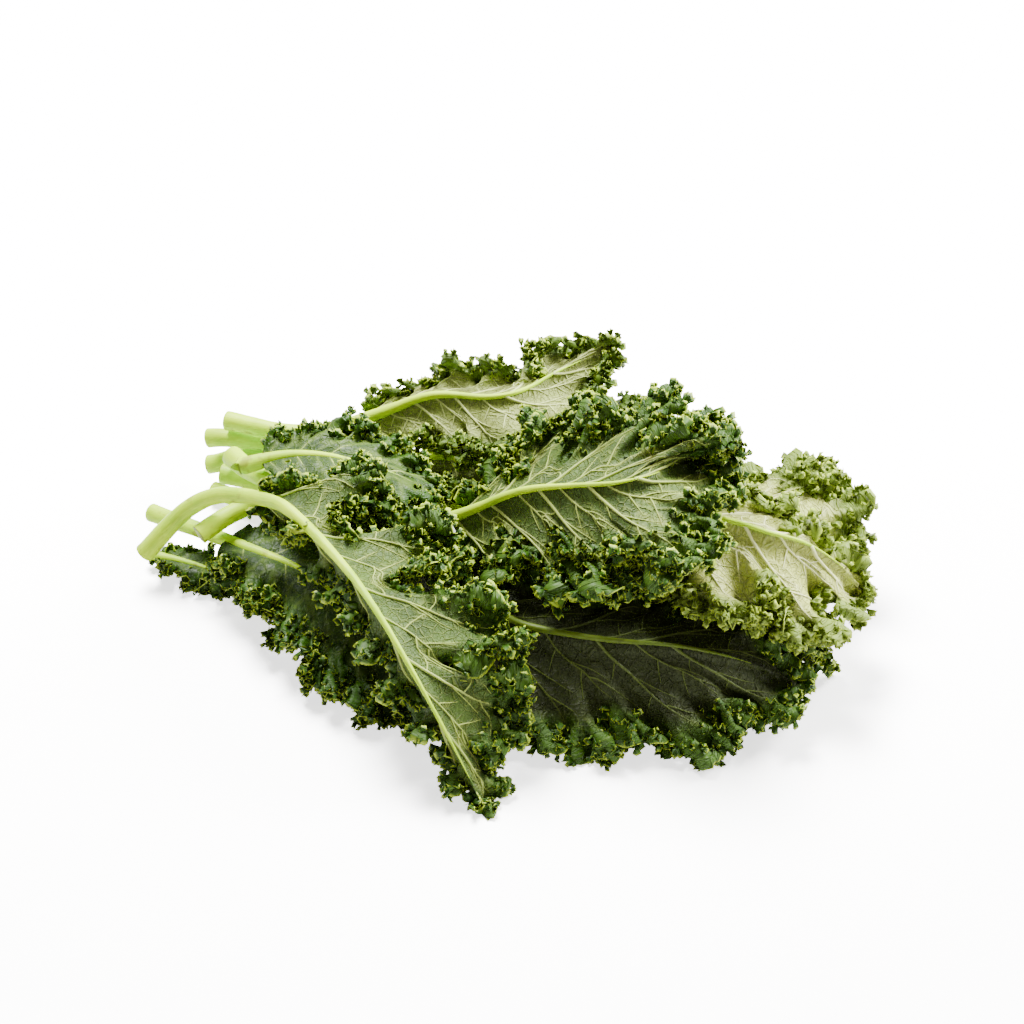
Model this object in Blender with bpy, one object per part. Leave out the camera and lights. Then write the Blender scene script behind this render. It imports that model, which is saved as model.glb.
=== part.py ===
"""A bunch of curly kale that lies on its side: leaves with round stems, cut at the left, and blades
with lobed, folded edges that spread to the right. Each leaf is a pale stem, which runs on as the
midrib, and a green blade on the midrib's upper side. +X runs from the cut ends to the leaf tips,
+Z is up, and the surface that the bunch lies on is at zero."""

import math

import bmesh
import bpy
import numpy as np

MM = 0.001

# Shape of every leaf, in millimetres and degrees
CUT_RADIUS = 5.6
TIP_RADIUS = 1.1
TAPER_POWER = 0.85
BLADE_THICKNESS = 0.8
SEAT_GAP = 0.8
RIB_ANGLE = 74.0
RIB_BEND = 16.0
RIB_TURN_POWER = 2.2
BASE_WIDTH = 0.5
TIP_WIDTH = 0.5
TIP_WIDTH_POWER = 1.5
WIDEST_AT = 0.62
LOBES = 5
LOBE_DEPTH = 0.62
LOBE_GAP_POWER = 3
LOBE_FADE_POWER = 0.6
LOBE_SHIFT = 0.3
LOBELESS_TIP = 1 / 6
FOLD_HEIGHT = 7.0
FOLD_LENGTH = 33.0
FOLD_START = 0.25
FOLD_POWER = 1.3
FOLDLESS_BASE = 1 / 12
LEAST_FOLDS = 8

# How unevenly the folds follow each other and how unevenly high they are: amounts and frequencies
FOLD_DRIFT = ((0.9, 3.1), (0.6, 7.3))
FOLD_SWELL = ((0.25, 5.7), (0.2, 11.9))

# Fineness of the solids
STEM_SIDES = 8
BARE_STATIONS = 13
MIDRIB_END = 0.95
BLADE_ROWS = (0.0, 0.38, 0.72, 1.0)
COLUMNS_PER_FOLD = 4
RIB_STEPS = 8
SLOPE_ALONG = 0.001
SLOPE_OUT = 0.02

# How the leaves lie on each other, in millimetres
CELL = 2.0
GAP = 1.6
ANCHOR_REACH = 0.3
TABLE_PRESS = 6.0
SAMPLES = 10
SPREAD_CELLS = 10
SETTLE_PASSES = 8
LIFT_END = 0.02
TUCK_RAMP = 25.0
TUCK_CLEAR = 6.0
TUCKED_BEFORE = "leaf_middle"

STEM_COLOUR = (0.46, 0.60, 0.16)
STEM_ROUGHNESS = 0.42
BLADE_COLOUR = (0.10, 0.19, 0.05)
BLADE_ROUGHNESS = 0.6

# Each leaf, from the bottom of the heap to the top. The spine runs from the cut end to the tip, and
# faces are the ways that the underside looks at the blade's base, middle and tip. Each side has its
# width, its angle down from the flat leaf at the midrib, and the angle that it curls by on its way out.
# Where a leaf is tucked, its stem up to that x lies under the later leaves.
LEAVES = (
    dict(
        name="leaf_small_left", size=0.62, seed=11, blade_from=0.05,
        spine=((-200, 42, 7), (-183, 36, 8), (-163, 29, 7), (-138, 20, 5)),
        faces=((0, 0, -1), (0, 0.1, -1), (0, 0, -1)),
        left=(24, -12, -10), right=(22, -8, -10),
    ),
    dict(
        name="leaf_left", size=0.95, seed=23, blade_from=0.28,
        spine=((-202, 67, 17), (-172, 46, 22), (-145, 27, 26), (-113, 7, 27), (-88, -17, 24),
               (-68, -42, 18), (-50, -68, 10)),
        faces=((-0.1, 0, -1), (-0.2, 0, -1), (0, 0, -1)),
        left=(60, -12, -8), right=(44, -5, -5),
    ),
    dict(
        name="leaf_low_right", size=0.95, seed=37, blade_from=0.34,
        spine=((-172, 99, 7), (-120, 71, 8), (-51, 35, 10), (15, 4, 16), (67, -19, 26),
               (97, -31, 32), (120, -39, 32), (140, -46, 26), (154, -46, 16)),
        faces=((0, -0.3, 0.95), (0.3, -0.4, 0.85), (0.6, -0.4, 0.7)),
        left=(44, 24, -24), right=(42, 28, -28),
    ),
    dict(
        name="leaf_low_back", size=0.95, seed=131, blade_from=0.36,
        spine=((-158, 96, 7), (-80, 94, 9), (-20, 92, 15), (40, 88, 27), (85, 82, 34),
               (115, 74, 32), (140, 66, 22)),
        faces=((0, 0.1, -1), (0, 0.1, -1), (-0.3, 0, -1)),
        left=(46, -18, -14), right=(44, -20, -16),
    ),
    dict(
        name="leaf_low_front", size=1.0, seed=41, blade_from=0.37,
        spine=((-169, 27, 31), (-153, 39, 35), (-137, 49, 36), (-98, 26, 41), (-48, -23, 53),
               (4, -59, 50), (44, -69, 48), (84, -72, 46), (111, -74, 39), (130, -73, 28)),
        faces=((0, -0.2, 0.95), (0, -0.3, 0.95), (0.3, -0.3, 0.9)),
        left=(58, 10, 10), right=(74, 32, 10),
    ),
    dict(
        name="leaf_right_back", size=1.0, seed=83, blade_from=0.52,
        spine=((-176, 114, 12), (-122, 104, 10), (-52, 91, 14), (16, 67, 26), (69, 41, 42),
               (100, 23, 54), (122, 16, 60), (144, 16, 59), (160, 11, 51), (178, 12, 37)),
        faces=((0, 0, 1), (0.2, 0, 0.95), (0.6, 0, 0.75)),
        left=(70, -3, 0), right=(26, 25, 10),
    ),
    dict(
        name="leaf_right", size=1.05, seed=97, blade_from=0.52,
        spine=((-164, 87, 26), (-119, 77, 24), (-51, 62, 30), (15, 36, 46), (67, 9, 66),
               (90, -12, 80), (102, -18, 84), (116, -23, 85), (131, -27, 81), (148, -26, 72),
               (168, -25, 56), (179, -24, 44)),
        faces=((0, -0.2, 0.95), (0.3, -0.3, 0.9), (0.6, -0.3, 0.7)),
        left=(34, 12, 10), right=(66, 26, 10),
    ),
    dict(
        name="leaf_middle_back", size=1.0, seed=67, blade_from=0.44,
        spine=((-174, 113, 24), (-121, 101, 26), (-74, 90, 36), (-35, 74, 48), (-12, 61, 54),
               (15, 61, 58), (48, 66, 62), (76, 75, 62)),
        faces=((0, -0.2, 0.95), (0, -0.1, 0.95), (0.2, 0, 0.95)),
        left=(64, 5, 12), right=(30, 5, 10),
    ),
    dict(
        name="leaf_back", size=1.0, seed=71, blade_from=0.34,
        spine=((-162, 111, 36), (-126, 99, 38), (-76, 100, 48), (-35, 97, 68), (-2, 87, 80),
               (23, 104, 86), (45, 116, 90)),
        faces=((0, -0.4, 0.9), (0, -0.4, 0.9), (0, -0.3, 0.9)),
        left=(37, 0, 5), right=(36, 5, 8),
    ),
    dict(
        name="leaf_middle", size=0.9, seed=53, blade_from=0.12,
        spine=((-148, 57, 58), (-116, 57, 66), (-90, 50, 68), (-70, 42, 63), (-52, 38, 55)),
        faces=((0, 0.2, -1), (0, 0.1, -1), (0, 0, -1)),
        left=(46, -8, -8), right=(38, -8, -8),
    ),
    dict(
        name="leaf_front", size=1.0, seed=103, blade_from=0.28,
        spine=((-201, 31, 12), (-169, 37, 40), (-139, 23, 60), (-109, -8, 72), (-83, -46, 76),
               (-64, -78, 72), (-49, -99, 58), (-35, -115, 38), (-24, -127, 20), (-16, -137, 7)),
        faces=((0, -0.4, 0.9), (0.1, -0.55, 0.8), (0.2, -0.6, 0.7)),
        left=(76, 10, 8), right=(24, 70, 20),
    ),
    dict(
        name="leaf_top", size=1.1, seed=113, blade_from=0.53, tucked=-34,
        spine=((-157, 87, 40), (-137, 60, 42), (-104, 41, 42), (-65, 24, 48), (-38, 10, 60),
               (-16, 0, 76), (4, -6, 90), (29, -15, 103), (53, -23, 112), (68, -20, 114),
               (80, -9, 111)),
        faces=((0, -0.25, 0.95), (0, -0.25, 0.95), (0, -0.2, 0.95)),
        left=(80, 2, 6), right=(72, 24, 12),
    ),
)


def unit(vectors):
    """The vectors along the last axis, each one unit long."""
    return vectors / np.maximum(np.linalg.norm(vectors, axis=-1, keepdims=True), 1e-9)


class Spine:
    """A smooth line through a leaf's points, with the way that the underside looks at each place."""

    SAMPLES = 240

    def __init__(self, leaf):
        points = np.array(leaf["spine"], float)
        knots = np.concatenate([[0], np.cumsum(np.linalg.norm(np.diff(points, axis=0), axis=1))])
        slopes = np.gradient(points, knots, axis=0)
        at = np.linspace(0, knots[-1], self.SAMPLES)
        k = np.clip(np.searchsorted(knots, at, side="right") - 1, 0, len(knots) - 2)
        span = (knots[k + 1] - knots[k])[:, None]
        t = (at[:, None] - knots[k][:, None]) / span
        line = (
            (2 * t**3 - 3 * t**2 + 1) * points[k]
            + (t**3 - 2 * t**2 + t) * span * slopes[k]
            + (3 * t**2 - 2 * t**3) * points[k + 1]
            + (t**3 - t**2) * span * slopes[k + 1]
        )
        steps = np.linalg.norm(np.diff(line, axis=0), axis=1)
        self.along = np.concatenate([[0], np.cumsum(steps)])
        self.length = self.along[-1]
        self.along /= self.length
        self.line = line
        self.tangents = unit(np.gradient(line, axis=0))
        start = leaf["blade_from"]
        stations = np.array([start, (1 + start) / 2, 1.0])
        faces = unit(np.array(leaf["faces"], float))
        self.faces = self.spread(stations, faces, self.along)

    @staticmethod
    def spread(stations, values, at):
        """Values known at a few stations, read at any place between and held beyond the ends."""
        return np.stack([np.interp(at, stations, values[:, i]) for i in range(values.shape[1])], -1)

    def frame(self, at):
        """Place, tangent, underside direction and right-hand direction at a share of the length."""
        place = self.spread(self.along, self.line, at)
        tangent = unit(self.spread(self.along, self.tangents, at))
        face = self.spread(self.along, self.faces, at)
        face = unit(face - (face * tangent).sum(-1, keepdims=True) * tangent)
        return place, tangent, face, np.cross(tangent, face)


def radius_at(leaf, at):
    """Radius of the stem and midrib at a share of the spine's length."""
    return (CUT_RADIUS + (TIP_RADIUS - CUT_RADIUS) * at**TAPER_POWER) * leaf["size"]


class Blade:
    """The sheet of one leaf. Around runs from -1, at the base of the left side, over the tip at 0 to
    1, at the base of the right side, evenly along the margin. Raw runs the same way, evenly along the
    midrib. Out runs from the midrib to the margin."""

    TABLE = 200

    def __init__(self, leaf):
        self.leaf = leaf
        self.spine = Spine(leaf)
        self.phases = np.random.default_rng(leaf["seed"]).uniform(0, 2 * math.pi, 5)
        self.from_tip = np.linspace(0, 1, self.TABLE)
        run = sum(self.run_along(side * self.from_tip) for side in (-1, 1))
        self.even = run / run[-1]
        self.folds = max(LEAST_FOLDS, round(run[-1] / (FOLD_LENGTH * leaf["size"])))

    def run_along(self, raw):
        """Length of the margin from the first of these raw places to each of them."""
        margin = self.flat(raw, np.ones(len(raw)))
        return np.concatenate([[0], np.cumsum(np.linalg.norm(np.diff(margin, axis=0), axis=1))])

    def raw_at(self, around):
        """The raw place, which is even along the midrib, for a place that is even along the margin."""
        return np.sign(around) * np.interp(np.abs(around), self.even, self.from_tip)

    def columns(self):
        """Number of ribs that the solid's sheet is built on, from base to base."""
        return int(round(self.folds * COLUMNS_PER_FOLD / 4)) * 4

    def rib_length(self, raw):
        """Length of the rib that leaves the midrib at this place, with the lobes and their gaps."""
        along = 1 - np.abs(raw)
        before = BASE_WIDTH + (1 - BASE_WIDTH) * np.sin(np.clip(along / WIDEST_AT, 0, 1) * math.pi / 2)
        beyond = np.clip((along - WIDEST_AT) / (1 - WIDEST_AT), 0, 1)
        after = 1 - (1 - TIP_WIDTH) * beyond**TIP_WIDTH_POWER
        width = np.where(raw < 0, self.leaf["left"][0], self.leaf["right"][0])
        narrow = min(self.leaf["left"][0], self.leaf["right"][0])
        width = width + (narrow - width) * beyond**2
        shift = LOBE_SHIFT * self.phases[0] * np.sign(raw)
        gap = (0.5 + 0.5 * np.cos(2 * math.pi * LOBES * along + shift)) ** LOBE_GAP_POWER
        fade = (1 - along) ** LOBE_FADE_POWER * np.clip(np.abs(raw) / LOBELESS_TIP, 0, 1)
        return width * before * after * (1 - LOBE_DEPTH * gap * fade)

    def flat(self, raw, out):
        """Points of the sheet before its edge folds, for arrays of raw places and shares outwards."""
        along = 1 - np.abs(raw)
        start = self.leaf["blade_from"]
        at = start + (1 - start) * along
        place, tangent, face, right = self.spine.frame(at)
        seat = radius_at(self.leaf, at) + SEAT_GAP + BLADE_THICKNESS / 2
        place = place - face * seat[..., None]
        side = np.where(raw < 0, -1.0, 1.0)
        fold = np.where(raw < 0, self.leaf["left"][1], self.leaf["right"][1])
        curl = np.where(raw < 0, self.leaf["left"][2], self.leaf["right"][2])
        bow = sum(self.leaf[side][1] + self.leaf[side][2] for side in ("left", "right")) / 4
        angle = RIB_ANGLE * (1 - along**RIB_TURN_POWER)
        step = self.rib_length(raw) * out / RIB_STEPS
        for k in range(RIB_STEPS):
            share = (k + 0.5) / RIB_STEPS * out
            sweep = np.radians(np.maximum(angle - RIB_BEND * share * (1 - along), 0))
            droop = np.radians(fold + curl * share)
            nod = np.radians(bow * share)
            ahead = np.cos(nod)[..., None] * tangent - np.sin(nod)[..., None] * face
            aside = (np.cos(droop) * side)[..., None] * right - np.sin(droop)[..., None] * face
            way = np.cos(sweep)[..., None] * ahead + np.sin(sweep)[..., None] * aside
            place = place + way * step[..., None]
        return place

    @staticmethod
    def waves(kinds, phases, around):
        """The sum of a few long waves along the margin."""
        return sum(
            amount * np.sin(frequency * around + phase)
            for (amount, frequency), phase in zip(kinds, phases)
        )

    def fold_height(self, around, out):
        """How far the folded edge stands off the flat sheet, towards the underside if positive."""
        drift = self.waves(FOLD_DRIFT, self.phases[1:3], around)
        swell = 1 + self.waves(FOLD_SWELL, self.phases[3:5], around)
        rise = np.clip((out - FOLD_START) / (1 - FOLD_START), 0, 1) ** FOLD_POWER
        ends = np.clip((1 - np.abs(around)) / FOLDLESS_BASE, 0, 1)
        wave = np.sin(math.pi * self.folds * around + drift)
        return FOLD_HEIGHT * self.leaf["size"] * rise * swell * ends * wave

    def folded(self, around, out):
        """Points of the sheet with its folded edge."""
        raw = self.raw_at(around)
        here = self.flat(raw, out)
        ahead = self.flat(np.clip(raw + SLOPE_ALONG, -1, 1), out)
        back = self.flat(np.clip(raw - SLOPE_ALONG, -1, 1), out)
        inward = self.flat(raw, np.maximum(out - SLOPE_OUT, 0))
        outward = self.flat(raw, out + SLOPE_OUT)
        normal = unit(np.cross(outward - inward, ahead - back))
        return here + normal * self.fold_height(around, out)[..., None]


def anchors_of(blade, around, out, points):
    """Where on the ground plan each point is lifted with: the midrib close to it, and further out
    its own place, so that the sheet stays on its midrib."""
    raw = blade.raw_at(around)
    start = blade.leaf["blade_from"]
    place = blade.spine.frame(start + (1 - start) * (1 - np.abs(raw)))[0]
    own = np.clip(out / ANCHOR_REACH, 0, 1)[..., None]
    return (place * (1 - own) + points * own)[..., :2]


def blade_sheet(blade):
    """Points, triangles and anchors of the blade's middle surface. Both sides share the midrib's points."""
    columns = blade.columns()
    rows = len(BLADE_ROWS)
    around = np.linspace(-1, 1, columns + 1)
    grid_around, grid_out = np.meshgrid(around, np.array(BLADE_ROWS), indexing="ij")
    grid_points = blade.folded(grid_around, grid_out)
    anchors = anchors_of(blade, grid_around, grid_out, grid_points).reshape(-1, 2)
    points = grid_points.reshape(-1, 3)
    index = np.arange(points.shape[0]).reshape(columns + 1, rows)
    for i in range(columns // 2 + 1, columns + 1):
        index[i, 0] = index[columns - i, 0]
    faces = []
    for i in range(columns):
        for j in range(rows - 1):
            a, b, c, d = index[i, j], index[i + 1, j], index[i + 1, j + 1], index[i, j + 1]
            corners = ((a, d, c), (a, c, b)) if (i + j) % 2 else ((a, d, b), (b, d, c))
            faces += [f for f in corners if len(set(f)) == 3]
    return points, np.array(faces), anchors


def thickened(points, faces, thickness):
    """The closed solid of a sheet: both faces with the same triangles, and a rim round the edge."""
    corners = points[faces]
    normals = np.zeros_like(points)
    crossed = np.cross(corners[:, 1] - corners[:, 0], corners[:, 2] - corners[:, 0])
    for k in range(3):
        np.add.at(normals, faces[:, k], crossed)
    normals = unit(normals)
    count = len(points)
    solid = np.concatenate([points + normals * thickness / 2, points - normals * thickness / 2])
    edges = np.concatenate([faces[:, [0, 1]], faces[:, [1, 2]], faces[:, [2, 0]]])
    known = {tuple(e) for e in edges}
    rim = np.array([e for e in edges if (e[1], e[0]) not in known])
    sides = np.concatenate([
        np.stack([rim[:, 1], rim[:, 0], rim[:, 0] + count], 1),
        np.stack([rim[:, 1], rim[:, 0] + count, rim[:, 1] + count], 1),
    ])
    return solid, np.concatenate([faces, faces[:, ::-1] + count, sides])


def stem_stations(blade):
    """Places along the spine for the stem's rings: along the blade they are at every second rib."""
    start = blade.leaf["blade_from"]
    raw = blade.raw_at(np.linspace(-1, 0, blade.columns() // 2 + 1)[::2])
    along_blade = start + (1 - start) * (1 + raw)
    bare = np.linspace(0, start, max(2, round(start * BARE_STATIONS)), endpoint=False)
    return np.concatenate([bare, along_blade[along_blade < MIDRIB_END]])


def stem_tube(blade):
    """Points, faces and anchors of the stem and midrib, thick at the cut end and thin at the tip."""
    leaf = blade.leaf
    at = stem_stations(blade)
    place, _, face, right = blade.spine.frame(at)
    turn = np.arange(STEM_SIDES) * 2 * math.pi / STEM_SIDES
    ring = np.cos(turn)[:, None, None] * right + np.sin(turn)[:, None, None] * face
    points = (place + ring * radius_at(leaf, at)[:, None]).transpose(1, 0, 2).reshape(-1, 3)
    anchors = np.repeat(place[:, :2], STEM_SIDES, axis=0)
    faces = []
    for i in range(len(at) - 1):
        for j in range(STEM_SIDES):
            a, b = i * STEM_SIDES + j, i * STEM_SIDES + (j + 1) % STEM_SIDES
            faces.append((a, b, b + STEM_SIDES, a + STEM_SIDES))
    faces.append(tuple(range(STEM_SIDES))[::-1])
    faces.append(tuple(range((len(at) - 1) * STEM_SIDES, len(at) * STEM_SIDES)))
    return points, faces, anchors


def corners_of(points, faces):
    """The corners of every triangle, with each longer face as a fan."""
    fans = [(f[0], f[k], f[k + 1]) for f in faces for k in range(1, len(f) - 1)]
    return points[np.array(fans)]


def samples_of(points, faces):
    """Points spread evenly over every face."""
    a, b = np.meshgrid(np.arange(SAMPLES + 1), np.arange(SAMPLES + 1))
    inside = a + b <= SAMPLES
    shares = np.stack([a[inside], b[inside], SAMPLES - a[inside] - b[inside]], -1) / SAMPLES
    return np.einsum("sk,fkd->fsd", shares, corners_of(points, faces)).reshape(-1, 3)


def windowed(grid, reach, combine):
    """Each cell's neighbourhood, this many cells each way, brought to one number."""
    padded = np.pad(grid, reach, mode="edge")
    side = 2 * reach + 1
    return combine(np.lib.stride_tricks.sliding_window_view(padded, (side, side)), axis=(2, 3))


class Heap:
    """The heights of what already lies on the table, over a grid of square cells."""

    def __init__(self, low, high):
        self.low = np.array(low, float)
        cells = np.ceil((np.array(high) - self.low) / CELL).astype(int) + 1
        self.top = np.full(cells, -TABLE_PRESS - GAP)

    def cell(self, points):
        """The cell that each point is over."""
        found = np.round((points[:, :2] - self.low) / CELL).astype(int)
        return tuple(np.clip(found, 0, np.array(self.top.shape) - 1).T)

    def lift_needed(self, samples):
        """How far each cell has to rise for the samples to clear what lies below, spread smoothly."""
        bottom = np.full(self.top.shape, np.inf)
        np.minimum.at(bottom, self.cell(samples), samples[:, 2])
        need = np.clip(windowed(self.top, 1, np.max) + GAP - bottom, 0, None)
        need = np.where(np.isfinite(bottom), need, 0)
        if need.max() < LIFT_END:
            return None
        wide = windowed(need, SPREAD_CELLS, np.max)
        half = SPREAD_CELLS // 2
        return windowed(windowed(wide, half, np.mean), SPREAD_CELLS - half, np.mean)

    def add(self, samples):
        """Raises the cells under the samples to them."""
        np.maximum.at(self.top, self.cell(samples), samples[:, 2])


def lifted(heap, points, anchors, lift):
    """The points, each raised by the lift of the four cells round its anchor."""
    place = np.clip((anchors - heap.low) / CELL, 0, np.array(lift.shape) - 1.001)
    i, j = np.floor(place).astype(int).T
    u, v = (place - np.floor(place)).T
    rise = (
        lift[i, j] * (1 - u) * (1 - v) + lift[i + 1, j] * u * (1 - v)
        + lift[i, j + 1] * (1 - u) * v + lift[i + 1, j + 1] * u * v
    )
    return points + np.stack([0 * rise, 0 * rise, rise], -1)


def rested(points, thickness):
    """The points pressed flat where they would sink into the table, the thickness apart in a sheet."""
    flat = points.copy()
    half = len(points) // 2
    least = np.zeros(len(points))
    if thickness:
        first_above = points[:half, 2] >= points[half:, 2]
        least = thickness * np.concatenate([first_above, ~first_above])
    flat[:, 2] = np.maximum(flat[:, 2], least)
    return flat


def turns():
    """The order in which the leaves are laid, each with the stretch of x that is laid in its turn."""
    order = []
    for index, leaf in enumerate(LEAVES):
        if leaf["name"] == TUCKED_BEFORE:
            order += [(k, -math.inf, late["tucked"]) for k, late in enumerate(LEAVES) if "tucked" in late]
        order.append((index, leaf.get("tucked", -math.inf), math.inf))
    return order


def stretch_of(shape, low, high):
    """Samples of a leaf's stem and blade between two places along x."""
    samples = np.concatenate([samples_of(points, faces) for points, faces, _ in shape])
    return samples[(samples[:, 0] >= low) & (samples[:, 0] < high)]


def settle(shapes):
    """Lays the leaves' shapes on the table and on each other, with a gap between."""
    every = np.concatenate([points for leaf in shapes for points, _, _ in leaf])
    heap = Heap(every[:, :2].min(0) - CELL * 2, every[:, :2].max(0) + CELL * 2)
    across = heap.low[0] + CELL * np.arange(heap.top.shape[0])
    for index, low, high in turns():
        leaf = shapes[index]
        ramp = np.clip((across - low) / TUCK_RAMP, 0, 1)[:, None]
        for _ in range(SETTLE_PASSES):
            lift = heap.lift_needed(stretch_of(leaf, low, high))
            if lift is None:
                break
            leaf[:] = [(lifted(heap, p, anchors, lift * ramp), f, anchors) for p, f, anchors in leaf]
        leaf[:] = [(rested(p, thick), f, a) for (p, f, a), thick in zip(leaf, (0, BLADE_THICKNESS))]
        heap.add(stretch_of(leaf, low, high - TUCK_CLEAR))


def material(name, colour, roughness):
    made = bpy.data.materials.new(name)
    made.use_nodes = True
    shader = made.node_tree.nodes["Principled BSDF"]
    shader.inputs["Base Color"].default_value = (*colour, 1)
    shader.inputs["Roughness"].default_value = roughness
    made.diffuse_color = (*colour, 1)
    return made


def solid(name, points, faces, finish):
    """A mesh object in metres, with its faces pointing out."""
    mesh = bpy.data.meshes.new(name)
    mesh.from_pydata((points * MM).tolist(), [], [tuple(int(i) for i in f) for f in faces])
    mesh.materials.append(finish)
    work = bmesh.new()
    work.from_mesh(mesh)
    bmesh.ops.delete(work, geom=[v for v in work.verts if not v.link_faces], context="VERTS")
    bmesh.ops.recalc_face_normals(work, faces=work.faces)
    work.to_mesh(mesh)
    work.free()
    made = bpy.data.objects.new(name, mesh)
    bpy.context.scene.collection.objects.link(made)
    return made


def leaf_shapes(leaf):
    """The stem and the blade of one leaf, each as points, faces and anchors."""
    blade = Blade(leaf)
    points, faces, anchors = blade_sheet(blade)
    solid_points, solid_faces = thickened(points, faces, BLADE_THICKNESS)
    return [stem_tube(blade), (solid_points, solid_faces, np.concatenate([anchors, anchors]))]


def build():
    for old in list(bpy.data.objects):
        bpy.data.objects.remove(old)
    stem_green = material("pale_stem_green", STEM_COLOUR, STEM_ROUGHNESS)
    blade_green = material("kale_blade_green", BLADE_COLOUR, BLADE_ROUGHNESS)
    shapes = [leaf_shapes(leaf) for leaf in LEAVES]
    settle(shapes)
    every = np.concatenate([points for leaf in shapes for points, _, _ in leaf])
    middle = (every.min(0) + every.max(0)) / 2 * (1, 1, 0)
    for leaf, (stem, blade) in zip(LEAVES, shapes):
        solid(leaf["name"] + "_stem", stem[0] - middle, stem[1], stem_green)
        solid(leaf["name"] + "_blade", blade[0] - middle, blade[1], blade_green)


build()
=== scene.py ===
# %% [markdown]
# # A bunch of curly kale
#
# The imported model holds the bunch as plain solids: for each of the twelve leaves a stem, which runs
# on as the midrib, and a blade with only its large folds. This script gives each leaf its finished
# look. It grows the same leaves again from the same rules, with a much finer sheet, frills the edges,
# lays raised veins on the undersides and paints it all. Each finished piece stands for one solid, and
# each code cell prints what it made.

# %% Load the frame
import math
from functools import partial

import bpy
import numpy as np
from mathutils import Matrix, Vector
from mathutils.kdtree import KDTree


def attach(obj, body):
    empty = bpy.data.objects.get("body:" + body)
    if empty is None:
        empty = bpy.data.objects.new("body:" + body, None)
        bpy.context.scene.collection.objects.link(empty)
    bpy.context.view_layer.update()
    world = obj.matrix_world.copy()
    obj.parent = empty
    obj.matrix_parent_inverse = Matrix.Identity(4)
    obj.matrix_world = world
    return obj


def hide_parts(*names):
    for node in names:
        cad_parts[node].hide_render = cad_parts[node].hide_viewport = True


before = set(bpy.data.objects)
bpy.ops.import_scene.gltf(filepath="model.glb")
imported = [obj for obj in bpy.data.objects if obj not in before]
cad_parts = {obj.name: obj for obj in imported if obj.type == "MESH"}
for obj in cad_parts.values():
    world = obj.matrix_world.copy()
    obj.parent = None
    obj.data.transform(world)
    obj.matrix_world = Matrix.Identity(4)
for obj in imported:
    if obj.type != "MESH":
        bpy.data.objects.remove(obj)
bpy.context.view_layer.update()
print("solids in the frame:", len(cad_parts))

# %% [markdown]
# ## Helpers
#
# Everything below is measured in millimetres while it is worked out, and becomes metres when it turns
# into a mesh. Node trees, for shapes and for finishes alike, are written with one small function that
# adds a node, sets its options and fills its inputs, so that a tree reads as a list of steps. Each new
# tree comes with that function already bound to it, as *add*. The kinds of nodes that come up most
# have short names.

# %% Units, colours and nodes
MM = 0.001
MATH = "ShaderNodeMath"
VECTOR_MATH = "ShaderNodeVectorMath"
MAP_RANGE = "ShaderNodeMapRange"
NOISE = "ShaderNodeTexNoise"
MIX = "ShaderNodeMix"
NAMED_ATTRIBUTE = "GeometryNodeInputNamedAttribute"
SET_POSITION = "GeometryNodeSetPosition"
GROUP = "GeometryNodeGroup"
FRESH_STEM = "#caf00c"


def srgb(code):
    """A colour from its sRGB hex code, in the linear values that a shader needs."""
    shares = [int(code[i:i + 2], 16) / 255 for i in (1, 3, 5)]
    return (*[c / 12.92 if c <= 0.04045 else ((c + 0.055) / 1.055) ** 2.4 for c in shares], 1.0)


def add_node(tree, kind, inputs=(), out=0, **settings):
    """Adds a node, sets its options, fills its inputs in order or by name, and returns an output."""
    node = tree.nodes.new(kind)
    for name, value in settings.items():
        setattr(node, name, value)
    sockets = [s for s in node.inputs if s.enabled]
    for key, value in inputs.items() if isinstance(inputs, dict) else enumerate(inputs):
        socket = sockets[key] if isinstance(key, int) else next(s for s in sockets if s.name == key)
        if isinstance(value, bpy.types.NodeSocket):
            tree.links.new(value, socket)
        else:
            socket.default_value = value
    return [s for s in node.outputs if s.enabled][out]


def shape_tree(name, **sizes):
    """A new tree for shapes with a named input for each size, what adds nodes to it, the sockets that
    give what comes in, and the socket that takes the result."""
    tree = bpy.data.node_groups.new(name, "GeometryNodeTree")
    for way in ("INPUT", "OUTPUT"):
        tree.interface.new_socket("Geometry", in_out=way, socket_type="NodeSocketGeometry")
    for label, value in sizes.items():
        kind = "NodeSocketVector" if isinstance(value, tuple) else "NodeSocketFloat"
        socket = tree.interface.new_socket(label.replace("_", " "), in_out="INPUT", socket_type=kind)
        socket.default_value = value
    given, result = (tree.nodes.new(kind) for kind in ("NodeGroupInput", "NodeGroupOutput"))
    return tree, partial(add_node, tree), given.outputs, result.inputs[0]


def plain_mesh(source):
    """What an object's modifiers make of it, as a mesh of its own."""
    return bpy.data.meshes.new_from_object(source.evaluated_get(bpy.context.evaluated_depsgraph_get()))


def grown(source, tree, **sizes):
    """The plain mesh that a shape tree makes of an object, with these sizes for its named inputs."""
    modifier = source.modifiers.new(tree.name, "NODES")
    modifier.node_group = tree
    for item in tree.interface.items_tree:
        wanted = sizes.get(item.name.replace(" ", "_"))
        if item.in_out == "INPUT" and wanted is not None:
            modifier[item.identifier] = wanted
    mesh = plain_mesh(source)
    source.modifiers.remove(modifier)
    return mesh


print("fresh stem green in linear light:", [round(c, 3) for c in srgb(FRESH_STEM)[:3]])

# %% [markdown]
# ## The leaves
#
# A leaf could be drawn by hand, but twelve leaves of one plant share one rule and differ in a few
# numbers. Each row has the spine's points from the cut end to the tip, the way that the underside looks
# at the blade's base, middle and tip, and for each side its width, its angle down from the flat leaf at
# the midrib and the angle that it curls by on its way out. These are the same numbers as in the solids'
# own source, because the frame can't be asked for them.

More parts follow.
